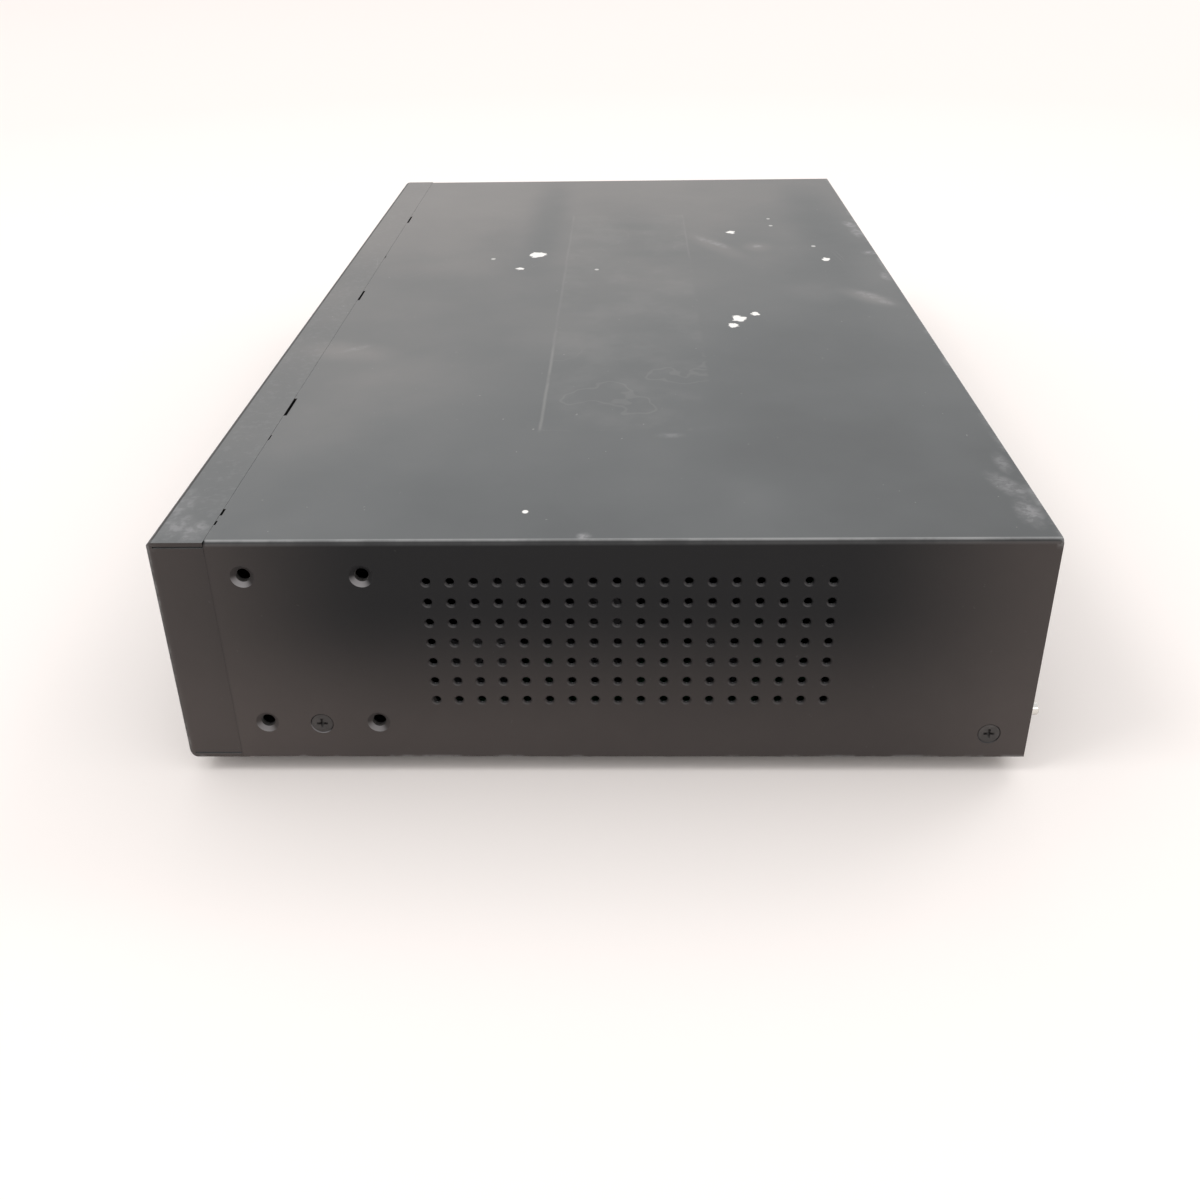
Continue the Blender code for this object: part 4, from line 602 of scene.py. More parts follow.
def round_rect(cx, cz, w, h, r, n=6):
    points = []
    for sx, sz, start in ((1, 1, 0), (-1, 1, 90), (-1, -1, 180), (1, -1, 270)):
        for i in range(n + 1):
            a = math.radians(start + 90 * i / n)
            points.append((cx + sx * (w / 2 - r) + r * math.cos(a), cz + sz * (h / 2 - r) + r * math.sin(a)))
    return points


def circle(cx, cz, r, n=32):
    return [(cx + r * math.cos(math.tau * i / n), cz + r * math.sin(math.tau * i / n)) for i in range(n)]


def sector(cx, cz, r0, r1, a0, a1, n):
    steps = [math.radians(a0 + (a1 - a0) * i / n) for i in range(n + 1)]
    return [(cx + r1 * math.cos(a), cz + r1 * math.sin(a)) for a in steps] + [(cx + r0 * math.cos(a), cz + r0 * math.sin(a)) for a in reversed(steps)]


def together(tools):
    bm = bmesh.new()
    for tool in tools:
        bm.from_mesh(tool.data)
        drop(tool)
    mesh = bpy.data.meshes.new("cutters")
    bm.to_mesh(mesh)
    bm.free()
    return link(mesh, "cutters")


def combine(body, tool, operation):
    modifier = body.modifiers.new("cut", "BOOLEAN")
    modifier.operation = operation
    modifier.solver = "EXACT"
    modifier.object = tool
    bpy.context.view_layer.update()
    old = body.data
    mesh = bpy.data.meshes.new_from_object(body.evaluated_get(bpy.context.evaluated_depsgraph_get()))
    body.modifiers.clear()
    body.data = mesh
    bpy.data.meshes.remove(old)
    drop(tool)
    return body


def cut(body, *tools):
    return combine(body, together(tools) if len(tools) > 1 else tools[0], "DIFFERENCE")


def join(body, *tools):
    for tool in tools:
        body = combine(body, tool, "UNION")
    return body


def soften(made, width, segments=2, angle=32):
    """Rounds a mesh's sharp edges."""
    modifier = made.modifiers.new("round", "BEVEL")
    modifier.width = width * MM
    modifier.segments = segments
    modifier.limit_method = "ANGLE"
    modifier.angle_limit = math.radians(angle)
    modifier.use_clamp_overlap = True
    bpy.context.view_layer.update()
    old = made.data
    mesh = bpy.data.meshes.new_from_object(made.evaluated_get(bpy.context.evaluated_depsgraph_get()))
    made.modifiers.clear()
    made.data = mesh
    bpy.data.meshes.remove(old)
    return made


def mirror_x(made):
    made.data.transform(Matrix.Scale(-1, 4, (1, 0, 0)))
    made.data.flip_normals()
    return made


def piece(name, parts, body="case", nodes=(), angle=30.0):
    """One shown piece from closed shapes, each with its own look."""
    bm = bmesh.new()
    looks = []
    for part, look in parts:
        if look not in looks:
            looks.append(look)
        first = len(bm.faces)
        bm.from_mesh(part.data)
        bm.faces.ensure_lookup_table()
        for i in range(first, len(bm.faces)):
            bm.faces[i].material_index = looks.index(look)
        drop(part)
    mesh = bpy.data.meshes.new(name)
    bm.to_mesh(mesh)
    bm.free()
    made = link(mesh, name)
    for look in looks:
        mesh.materials.append(LOOKS[look])
    mesh.shade_smooth()
    mesh.set_sharp_from_angle(angle=math.radians(angle))
    weigh = made.modifiers.new("normals", "WEIGHTED_NORMAL")
    weigh.keep_sharp = True
    weigh.weight = 80
    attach(made, body)
    if nodes:
        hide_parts(*nodes)
    return made


def engrave(text, x, z, size, y, thick=0.05):
    """A numeral as a thin closed solid on a face that looks along -Y."""
    curve = bpy.data.curves.new("mark", "FONT")
    curve.body = text
    curve.size = size * MM
    curve.align_x, curve.align_y = "CENTER", "CENTER"
    curve.extrude = thick * MM / 2
    curve.resolution_u = 3
    holder = bpy.data.objects.new("mark", curve)
    bpy.context.scene.collection.objects.link(holder)
    bpy.context.view_layer.update()
    mesh = bpy.data.meshes.new_from_object(holder.evaluated_get(bpy.context.evaluated_depsgraph_get()))
    bpy.data.objects.remove(holder)
    mesh.materials.clear()
    mesh.transform(Matrix.Translation(Vector((x, y, z)) * MM) @ Matrix.Rotation(math.pi / 2, 4, "X"))
    bm = bmesh.new()
    bm.from_mesh(mesh)
    bmesh.ops.remove_doubles(bm, verts=bm.verts, dist=1e-7)
    bm.to_mesh(mesh)
    bm.free()
    return link(mesh, "mark")


# ------------------------------------------------------------- case
EAR_Y, EAR_Z = (24.4, 55.5), (10.0, 56.1)
SIDE_SCREW = ((39.6, 56.6), (224.3, 60.1))
VENTS = [(YF + 72.2 + 6.22 * col, Z1 - 11.8 - 6.15 * row) for row in range(7) for col in range(18)]


def make_cover():
    def fold(r, x, z, n=8):
        return [(x - r + r * math.cos(math.radians(90 - 90 * i / n)), z - r + r * math.sin(math.radians(90 - 90 * i / n))) for i in range(n + 1)]

    outer, inner = fold(1.6, HX, Z1), fold(0.6, HX - SHEET, Z1 - SHEET)
    outline = outer + [(HX, Z0 + 0.15), (HX - 0.15, Z0), (HX - SHEET, Z0)] + list(reversed(inner))
    outline += [(-x, z) for x, z in inner] + [(-HX + SHEET, Z0), (-HX + 0.15, Z0), (-HX, Z0 + 0.15)] + [(-x, z) for x, z in reversed(outer)]
    start = FRONT_HI[1] + SEAM_TOP
    cover = prism(outline, start, YR, "Y")
    for sign in (1, -1):
        a, b = sorted((sign * (HX - SHEET), sign * HX))
        cover = join(cover, box(a, b, FRONT_HI[1] + SEAM_SIDE, start + 2.0, Z0, Z1 - 4.0))
    cover = join(cover, box(-HX + 2.2, HX - 2.2, YR - SHEET, YR, Z1 - 10.5, Z1 - SHEET / 2))
    cover = cut(cover, *[box(x - w, x + w, COVER_Y0 - 5, start + d, Z1 - SHEET - 2.0, Z1 + 1) for x, w, d in ((-131.0, 6.5, 0.75), (0.0, 6.5, 0.8), (124.5, 7.5, 0.95), (202.0, 2.0, 0.6), (208.5, 1.2, 0.45), (150.0, 2.0, 0.3), (-60.0, 2.0, 0.3))])
    for x in (-126.0, 0.0, 126.0):
        step = prism([(COVER_Y0 - 7.5, Z1 - 2.7), (COVER_Y0 + 3, Z1 - 2.7), (COVER_Y0 + 3, Z1 - 0.5), (COVER_Y0 + 1.2, Z1 - 0.5), (COVER_Y0 + 0.2, Z1 - 1.8), (COVER_Y0 - 7.5, Z1 - 1.8)], x - 5, x + 5, "X")
        cover = join(cover, step)
    for sign in (1, -1):
        for row in range(7):
            tools = []
            for y, z in VENTS[row * 18 : row * 18 + 18]:
                tool = lathe([(0, HX - 3.0), (1.05, HX - 3.0), (1.05, HX - 0.60), (1.2, HX - 0.24), (2.32, HX + 0.60), (0, HX + 0.60)], 20, (0, y, z), "X")
                tools.append(tool if sign > 0 else mirror_x(tool))
            cover = cut(cover, *tools)
        tools = []
        for y, z, r in [(y, z, 1.95) for y in EAR_Y for z in EAR_Z] + [(y, z, 2.45) for y, z in SIDE_SCREW]:
            slope = (3.2 - r) / (SHEET - 0.03)
            tool = lathe([(0, HX - 4), (r, HX - 4), (r, HX - SHEET + 0.03), (3.2 + 0.8 * slope, HX + 0.8), (0, HX + 0.8)], 32, (0, YF + y, Z1 - z), "X")
            tools.append(tool if sign > 0 else mirror_x(tool))
        cover = cut(cover, *tools)
    cover = cut(cover, *[rod(1.8, YR - 4, YR + 4, (x, 0, Z1 - 6), "Y", 24) for x in (-200.0, 0.0, 200.0)])
    piece("cover_shell", [(cover, "paint")], nodes=("top_cover",), angle=28)


def make_bezel():
    """The folded front tray: rounded front edges, return flanges, open slits where the flanges meet."""
    bm = bmesh.new()
    bmesh.ops.create_cube(bm, size=1.0)
    bmesh.ops.transform(bm, verts=bm.verts, matrix=Matrix.Translation(Vector((0, YF + FLANGE / 2, ZC)) * MM) @ Matrix.Diagonal((2 * HX * MM, FLANGE * MM, (Z1 - Z0) * MM, 1)))
    front = [e for e in bm.edges if all(abs(v.co.y - YF * MM) < 1e-6 for v in e.verts)]
    bmesh.ops.bevel(bm, geom=front, offset=2.8 * MM, segments=7, profile=0.5, affect="EDGES", clamp_overlap=True)
    panel = from_bmesh(bm)
    t = FRONT_SHEET
    panel = cut(panel, box(-HX + t, HX - t, FRONT_IN, YF + FLANGE + 3, Z0 + t, Z1 - t))
    slits = []
    for sx in (-1, 1):
        a, b = sorted((sx * (HX - t - 0.6), sx * (HX + 2)))
        slits.append(box(a, b, YF + 2.4, YF + FLANGE + 3, Z1 - t - 0.42, Z1 - t + 0.05))
        slits.append(box(a, b, YF + 2.4, YF + FLANGE + 3, Z0 + t - 0.05, Z0 + t + 0.42))
    panel = cut(panel, *slits)
    d0, d1 = YF - 4, FRONT_IN + 4
    tools = [rod(7.6, d0, d1, (-198.0, 0, ZC), "Y", 48), prism(round_rect(-146.0, ZC, 68, 18, 2.0), d0, d1), prism(circle(60.0, ZC, 21.9, 64), d0, d1), rod(7.2, d0, d1, (126.0, 0, ZC), "Y", 40)]
    tools.append(prism(round_rect(186.0, ZC, 13.9, 6.5, 0.5, 3), d0, d1))
    for z in (ZC + 9, ZC - 9):
        tools += [prism(round_rect(-92.0 + 19 * i, z, 14.7, 9.7, 1.6), d0, d1) for i in range(5)]
        tools.append(prism(round_rect(11.0, z, 18.7, 9.7, 1.6), d0, d1))
    # small round light holes under the window
    tools += [rod(1.1, d0, d1, (x, 0, ZC - 16.5), "Y", 20) for x in (-168.0, -156.0, -144.0)]
    panel = cut(panel, *tools)
    parts = [(panel, "paint")]
    for x, look in ((-168.0, "lens_green"), (-156.0, "lens_amber"), (-144.0, "lens_red")):
        parts.append((lathe([(0, YF - 0.15), (0.6, YF - 0.1), (1.0, YF + 0.25), (1.0, FRONT_IN + 1.5), (0, FRONT_IN + 1.5)], 20, (x, 0, ZC - 16.5)), look))
    piece("front_tray", parts, nodes=("front_panel",), angle=28)


def d_outline(half_top, half_bottom, half_h, cx, cz, c=1.8, n=5):
    """A rounded trapezium, wide side up."""
    corners = [(cx - half_top, cz + half_h), (cx - half_bottom, cz - half_h), (cx + half_bottom, cz - half_h), (cx + half_top, cz + half_h)]
    points = []
    for i, corner in enumerate(corners):
        here, before, after = Vector(corner), Vector(corners[i - 1]), Vector(corners[(i + 1) % 4])
        a, b = here + (before - here).normalized() * c, here + (after - here).normalized() * c
        for k in range(n + 1):
            s = k / n
            points.append(tuple((1 - s) ** 2 * a + 2 * s * (1 - s) * here + s**2 * b))
    return points


BNC_X = [-200.0 + 17.0 * i for i in range(8)]
BNC_Z = (52.0, 30.0)
RCA_X = (-57.0, -43.0)
FAN_X, SWITCH_X, INLET_X = 104.0, 146.0, 186.0


def make_rear_plate():
    x1, z0, z1 = PANEL_HI[0], PANEL_LO[2], PANEL_HI[2]
    panel = box(-x1, x1, REAR_IN, REAR_OUT, z0, z1)
    panel = join(panel, box(-x1, x1, REAR_OUT - 9, REAR_OUT - 0.5, z0, z0 + SHEET), box(-x1, x1, REAR_OUT - 9, REAR_OUT - 0.5, z1 - SHEET, z1))
    d0, d1 = REAR_IN - 3, REAR_OUT + 3
    tools = [rod(5.25, d0, d1, (x, 0, z), "Y", 32) for x in BNC_X for z in BNC_Z]
    tools += [rod(4.6, d0, d1, (x, 0, z), "Y", 28) for x in RCA_X for z in BNC_Z]
    tools.append(prism(d_outline(9.1, 8.0, 4.8, -14.0, 20.6), d0, d1))
    tools += [rod(2.6, d0, d1, (-14.0 + s * 12.5, 0, 20.6), "Y", 20) for s in (-1, 1)]
    tools += [box(7.1, 22.9, d0, d1, 13.9, 20.9), box(27.6, 44.4, d0, d1, 13.9, 28.3), box(48.9, 63.1, d0, d1, 13.9, 30.3), box(-31.5, 46.5, d0, d1, 42.0, 55.1)]
    tools += [box(SWITCH_X - 6.6, SWITCH_X + 6.6, d0, d1, ZC - 9.9, ZC + 9.9), box(INLET_X - 14.2, INLET_X + 14.2, d0, d1, ZC - 10.5, ZC + 10.5)]
    tools += [rod(1.8, d0, d1, (x, 0, Z1 - 6), "Y", 24) for x in (-200.0, 0.0, 200.0)]
    panel = cut(panel, *tools)
    tools = []
    for r0, r1 in ((8.6, 11.0), (12.6, 15.0), (16.4, 18.8)):
        for q in range(4):
            half = 45 - math.degrees(1.3 / r0)
            tools.append(prism(sector(FAN_X, ZC, r0, r1, 90 * q + 45 - half, 90 * q + 45 + half, 16), d0, d1))
    panel = cut(panel, *tools)
    parts = [(panel, "paint")]
    # earth stud with its nut and washer, and the fan's four screws
    parts.append((rod(4.2, REAR_OUT, REAR_OUT + 0.7, (212.0, 0, 16.0), "Y", 28, 0.15), "nickel"))
    parts.append((prism(circle(212.0, 16.0, 3.4, 6), REAR_OUT + 0.75, REAR_OUT + 3.0), "nickel"))
    parts.append((rod(1.9, REAR_OUT + 3.0, REAR_OUT + 5.6, (212.0, 0, 16.0), "Y", 24, 0.4), "nickel"))
    for sx in (-1, 1):
        for sz in (-1, 1):
            parts.append((cross_screw(FAN_X + sx * 16, ZC + sz * 16, REAR_OUT, 2.7, 1.5), "screw"))
    # index lines above and below the sockets, and the socket numbers, printed as thin marks
    for x in BNC_X:
        for z in (BNC_Z[0] + 9.4, BNC_Z[1] - 9.6):
            parts.append((box(x - 3.2, x + 3.2, REAR_OUT, REAR_OUT + 0.04, z - 0.18, z + 0.18), "print"))
    for n, (x, z) in enumerate([(x, z) for z in BNC_Z for x in reversed(BNC_X)]):
        mark = engrave(str(n + 1), 0, 0, 3.0, 0)
        mark.data.transform(Matrix.Translation(Vector((x - 7.3, REAR_OUT + 0.02, z + 5.0)) * MM) @ Matrix.Rotation(math.pi, 4, "Z"))
        parts.append((mark, "print"))
    piece("rear_plate", parts, nodes=("rear_panel",), angle=28)


def cross_recess(x, z, y_face, reach, half, width, axis="Y", sign=1):
    """Two crossed wedges, narrow at the bottom."""
    tools = []
    for turned in (False, True):
        a, w = half, width
        rows = []
        for depth, k in ((-0.6, 1.25), (reach, 0.25)):
            y = y_face - sign * depth
            u, v = (a * k, w) if not turned else (w, a * k)
            rows.append(([(x - u, z - v), (x + u, z - v), (x + u, z + v), (x - u, z + v)], y))
        tools.append(loft(rows))
    return tools


def cross_screw(x, z, y, r, high):
    """A pan head on the rear, with a cross recess."""
    head = lathe([(0, y), (r, y), (r, y + high * 0.35), (r * 0.93, y + high * 0.65), (r * 0.72, y + high * 0.9), (r * 0.35, y + high), (0, y + high)], 28, (x, 0, z))
    for tool in cross_recess(x, z, y + high, 1.0, r * 0.62, 0.28):
        head = cut(head, tool)
    return head


def make_screws():
    for sx, side in ((-1, "left"), (1, "right")):
        for (y, z), end in zip(SIDE_SCREW, ("front", "rear")):
            at = (0, YF + y, Z1 - z)
            top = HX - 0.12
            screw = lathe([(0, top - 6.9), (1.1, top - 6.9), (1.5, top - 6.4), (1.5, top - 1.72), (2.98, top - 0.22), (2.92, top - 0.04), (2.8, top), (0, top)], 36, at, "X")
            tools = cross_recess(0, 0, 0, 1.1, 1.75, 0.36)
            for tool in tools:
                # stands along Y at the origin: turned to look along +X, then moved to the head
                tool.data.transform(Matrix.Translation(Vector((top, at[1], at[2])) * MM) @ Matrix.Rotation(-math.pi / 2, 4, "Z"))
                screw = cut(screw, tool)
            if sx < 0:
                mirror_x(screw)
            piece(f"flat_screw_{end}_{side}", [(screw, "side_screw")], nodes=(f"side_screw_{end}_{side}",))
    for x, side in ((-200.0, "left"), (0.0, "middle"), (200.0, "right")):
        head = cross_screw(x, Z1 - 6, YR + 0.3, 2.9, 2.0)
        shank = rod(1.5, YR - 6.5, YR + 0.3, (x, 0, Z1 - 6), "Y", 20)
        piece(f"pan_screw_{side}", [(head, "screw"), (shank, "screw")], nodes=(f"rear_screw_{side}",))


def make_feet():
    for sx, side in ((-1, "left"), (1, "right")):
        for sy, end in ((-1, "front"), (1, "rear")):
            at = (sx * 188.0, sy * 88.0, 0)
            foot = lathe([(0, 1.6), (3.6, 1.6), (4.2, 1.4), (4.6, 0.35), (4.9, 0), (6.3, 0), (6.5, 0.35), (6.9, 0.35), (7.1, 0), (8.8, 0), (9.35, 0.2), (9.6, 0.7), (10.25, 4.3), (10.2, 4.6), (9.9, 4.7), (0, 4.7)], 48, at, "Z")
            screw = lathe([(0, 0.9), (1.6, 0.9), (2.4, 1.15), (2.7, 1.6), (0, 1.6)], 28, at, "Z")
            piece(f"rubber_foot_{end}_{side}", [(foot, "rubber"), (screw, "nickel")], nodes=(f"foot_{end}_{side}",))


# ------------------------------------------------------------- front controls
def polygon_mark(points, y, thick=0.05):
    """A flat printed shape on a front face, as a thin closed solid."""
    return prism(points, y - thick / 2, y + thick / 2)


def rect_key(name, x, z, w, h, marks):
    """A cap with a rolled edge and a shallow dished face, its retaining flange and its stem."""
    rings = [
        (round_rect(x, z, w, h, 1.35), FRONT_IN + 0.6), (round_rect(x, z, w, h, 1.35), KEY_FACE + 0.75), (round_rect(x, z, w - 0.22, h - 0.22, 1.3), KEY_FACE + 0.35),
        (round_rect(x, z, w - 0.7, h - 0.7, 1.15), KEY_FACE + 0.08), (round_rect(x, z, w - 1.3, h - 1.3, 1.0), KEY_FACE), (round_rect(x, z, w - 3.0, h - 3.0, 0.9), KEY_FACE + 0.06), (round_rect(x, z, w - 6.0, h - 6.0, 0.8), KEY_FACE + 0.12),
    ]
    flange = box(x - w / 2 - 1.2, x + w / 2 + 1.2, FRONT_IN + GAP, FRONT_IN + GAP + 1.0, z - h / 2 - 1.0, z + h / 2 + 1.0)
    stem = box(x - 2, x + 2, FRONT_IN + 0.65, KEYBOARD_Y - 4.6, z - 2, z + 2)
    parts = [(loft(rings), "key"), (flange, "key"), (stem, "key")] + [(mark, "print") for mark in marks]
    piece(f"cap_{name}", parts, body=name, nodes=(name,), angle=34)


def make_keys():
    y = KEY_FACE + 0.10
    digits = "1234567890"
    for row, z in enumerate((ZC + 9, ZC - 9)):
        for i in range(5):
            x, digit = -92.0 + 19 * i, digits[row * 5 + i]
            rect_key(f"key_{digit}", x, z, 14.0, 9.0, [engrave(digit, x, z, 5.4, y)])
    z = ZC + 9
    rect_key("key_menu", 11.0, z, 18.0, 9.0, [polygon_mark(round_rect(11.0, z + dz, 6.4, 0.8, 0.3, 3), y) for dz in (-1.7, 0, 1.7)])
    z = ZC - 9
    hook = [(8.0, z + 0.35), (10.6, z + 2.5), (10.6, z + 1.0), (12.6, z + 1.0), (13.7, z + 0.55), (14.1, z - 0.4), (13.7, z - 1.3), (12.6, z - 1.9), (11.0, z - 1.9), (11.0, z - 1.2), (12.4, z - 1.2), (13.1, z - 0.85), (13.35, z - 0.4), (13.1, z + 0.05), (12.4, z + 0.3), (10.6, z + 0.3), (10.6, z - 1.6)]
    rect_key("key_exit", 11.0, z, 18.0, 9.0, [polygon_mark(hook, y)])

    x = -198.0
    rear = KEYBOARD_Y - 4.6
    face = KEY_FACE - 0.2
    button = lathe([(0, face + 0.55), (3.6, face + 0.45), (5.2, face + 0.1), (5.8, face), (6.5, face + 0.12), (7.0, face + 0.5), (7.2, face + 1.1), (7.2, FRONT_IN + GAP), (9.0, FRONT_IN + GAP), (9.0, FRONT_IN + GAP + 1.0), (2.5, FRONT_IN + GAP + 1.0), (2.5, rear), (0, rear)], 64, (x, 0, ZC))
    arc = [(x + r * math.cos(math.radians(a)), ZC + r * math.sin(math.radians(a))) for r, turn in ((2.6, range(50, -231, -10)), (2.05, range(-230, 51, 10))) for a in turn]
    bar = round_rect(x, ZC + 1.9, 0.55, 2.8, 0.25, 3)
    piece("cap_power", [(button, "key"), (polygon_mark(arc, face + 0.49), "print"), (polygon_mark(bar, face + 0.49), "print")], body="power_key", nodes=("power_button",), angle=34)

    px = 60.0
    for name, mid in (("key_right", 0), ("key_up", 90), ("key_left", 180), ("key_down", 270)):
        half = 42.6

        def ring(inset, rise, swell=0.0):
            r0, r1 = 9.6 + inset, 21.5 - inset
            lose0, lose1 = math.degrees(inset / r0), math.degrees(inset / r1)
            n = 24
            outer = [(px + r1 * math.cos(math.radians(mid + (half - lose1) * (2 * i / n - 1))), ZC + r1 * math.sin(math.radians(mid + (half - lose1) * (2 * i / n - 1)))) for i in range(n + 1)]
            inner = [(px + r0 * math.cos(math.radians(mid + (half - lose0) * (1 - 2 * i / n))), ZC + r0 * math.sin(math.radians(mid + (half - lose0) * (1 - 2 * i / n)))) for i in range(n + 1)]
            return outer + inner, rise

        cap = loft([ring(0, FRONT_IN + 1.6), ring(0, KEY_FACE + 0.8), ring(0.12, KEY_FACE + 0.38), ring(0.4, KEY_FACE + 0.1), ring(0.8, KEY_FACE), ring(2.4, KEY_FACE + 0.12), ring(4.2, KEY_FACE + 0.2)])
        flange = prism(sector(px, ZC, 17.5, 23.1, mid - half + 1, mid + half - 1, 24), FRONT_IN + GAP, FRONT_IN + GAP + 1.2)
        a = math.radians(mid)
        sx, sz = px + 15 * math.cos(a), ZC + 15 * math.sin(a)
        stem = box(sx - 2, sx + 2, FRONT_IN + 1.65, rear, sz - 2, sz + 2)
        tip = [(px + math.cos(a) * u - math.sin(a) * v, ZC + math.sin(a) * u + math.cos(a) * v) for u, v in ((17.2, 0), (14.0, 2.7), (14.0, -2.7))]
        piece(f"cap_{name}", [(cap, "key"), (flange, "key"), (stem, "key"), (polygon_mark(tip, KEY_FACE + 0.17), "print")], body=name, nodes=(name,), angle=34)
    enter = lathe([(0, KEY_FACE + 0.3), (3.5, KEY_FACE + 0.2), (6.2, KEY_FACE - 0.15), (7.2, KEY_FACE - 0.25), (8.1, KEY_FACE), (8.6, KEY_FACE + 0.7), (8.6, FRONT_IN + 2.0), (2.2, FRONT_IN + 2.0), (2.2, rear), (0, rear)], 64, (px, 0, ZC))
    dot = lathe([(0, KEY_FACE + 0.2), (1.3, KEY_FACE + 0.2), (1.3, KEY_FACE + 0.35), (0, KEY_FACE + 0.35)], 32, (px, 0, ZC))
    piece("cap_enter", [(enter, "key"), (dot, "print")], body="key_enter", nodes=("key_enter",), angle=34)


def make_dial():
    x, tip = 126.0, FRONT_LO[1] - 9.5
    dial = lathe([(0, tip + 0.55), (6, tip + 0.5), (12.6, tip + 0.3), (13.9, tip + 0.05), (14.6, tip), (15.2, tip + 0.2), (15.5, tip + 0.7), (15.5, tip + 1.5), (15.2, tip + 1.8), (15.2, YF - 2.6), (3.0, YF - 2.6), (3.0, KEYBOARD_Y - 1.2), (0, KEYBOARD_Y - 1.2)], 96, (x, 0, ZC))
    dish = lathe([(0, tip + 1.65), (2.0, tip + 1.5), (3.4, tip + 1.05), (4.2, tip + 0.3), (4.6, tip - 0.4), (0, tip - 0.4)], 40, (x, 0, ZC + 8.4))
    dial = cut(dial, dish)
    n = 72
    teeth = []
    for i in range(n):
        a0 = math.tau * i / n
        for k, r in ((0.0, 15.95), (0.25, 16.4), (0.5, 16.4), (0.75, 15.95)):
            a = a0 + math.tau * k / n
            teeth.append((x + r * math.cos(a), ZC + r * math.sin(a)))
    inner = [(x + (px_ - x) * 0.965, ZC + (pz_ - ZC) * 0.965) for px_, pz_ in teeth]
    grip = loft([(inner, tip + 1.55), (teeth, tip + 2.0), (teeth, YF - 3.1), (inner, YF - 2.65)])
    piece("jog_knob", [(dial, "dial"), (grip, "key")], body="dial", nodes=("jog_dial",), angle=26)
    y0, y1 = YF - 5.2, YF - 0.5
    ring = lathe([(3.5, y1 - 1.5), (17.1, y1 - 1.5), (17.1, y0 + 1.0), (17.3, y0 + 0.5), (17.9, y0), (21.0, y0), (22.0, y0 + 0.25), (22.7, y0 + 0.9), (23.0, y0 + 1.8), (23.0, y1), (6.6, y1), (6.6, KEYBOARD_Y - 3.0), (3.5, KEYBOARD_Y - 3.0), (3.5, y1 - 1.5)], 120, (x, 0, ZC))
    scoops = []
    for a in (60, 120):
        t = math.radians(a)
        scoops.append(lathe([(0, y0 - 2), (1.35, y0 - 2), (1.15, y0 + 2.4), (0.6, y0 + 3.0), (0, y0 + 3.1)], 20, (x + 23.1 * math.cos(t), 0, ZC + 23.1 * math.sin(t))))
    ring = cut(ring, *scoops)
    parts = [(ring, "key")]
    tick = math.radians(90)
    parts.append((prism(round_rect(x, ZC + 20.0, 0.8, 2.4, 0.3, 3), y0 - 0.03, y0 + 0.03), "print"))
    piece("shuttle_collar", parts, body="ring", nodes=("shuttle_ring",), angle=30)
    # printed index marks round the ring, on the front panel
    marks = []
    for a in (20, 43, 66.5, 90, 113.5, 137, 160):
        t = math.radians(a)
        r0, r1, w = 24.6, 26.4 if a != 90 else 27.2, 0.28
        c, s = math.cos(t), math.sin(t)
        pts = [(x + c * r - s * v, ZC + s * r + c * v) for r, v in ((r0, -w), (r1, -w), (r1, w), (r0, w))]
        marks.append((prism(pts, YF - 0.05, YF), "print"))
    piece("dial_index", marks, body="case")


def make_window():
    cx, w, h = -146.0, 68.0, 18.0
    pane = loft([
        (round_rect(cx, ZC, w - 0.7, h - 0.7, 1.7), FRONT_IN + 0.5), (round_rect(cx, ZC, w - 0.7, h - 0.7, 1.7), YF - 0.1), (round_rect(cx, ZC, w - 0.9, h - 0.9, 1.65), YF - 0.32), (round_rect(cx, ZC, w - 1.3, h - 1.3, 1.5), YF - 0.4), (round_rect(cx, ZC, w - 8, h - 8, 1.2), YF - 0.45),
    ])
    flange = prism(round_rect(cx, ZC, w + 6, h + 6, 2.5), FRONT_IN + 0.5, FRONT_IN + 1.2)
    piece("smoked_pane", [(pane, "window"), (flange, "window")], nodes=("front_window",))


def make_front_usb():
    x = 186.0
    shell = prism(round_rect(x, ZC, 13.2, 5.9, 0.7, 4), YF + 0.2, -104.0)
    shell = cut(shell, prism(round_rect(x, ZC, 12.4, 5.1, 0.45, 4), YF - 3, YF + 9.7))
    tongue = box(x - 5.2, x + 5.2, YF + 1.4, YF + 9.9, ZC - 0.4, ZC + 1.4, 0.2)
    carrier = box(x - 14, x + 14, -104.5, -102.9, ZC - 12, ZC + 8)
    parts = [(shell, "nickel"), (tongue, "socket"), (carrier, "keyboard")]
    for i in range(4):
        cx = x - 3.5 + 7.0 * i / 3
        parts.append((box(cx - 0.5, cx + 0.5, YF + 2.0, YF + 9.0, ZC - 0.48, ZC - 0.38), "gold"))
    for s in (-1, 1):
        parts.append((box(x + s * 3 - 0.9, x + s * 3 + 0.9, YF + 2.4, YF + 6.0, ZC - 2.5, ZC - 2.2, 0.08), "nickel"))
    piece("usb_front", parts, nodes=("front_usb_socket",))


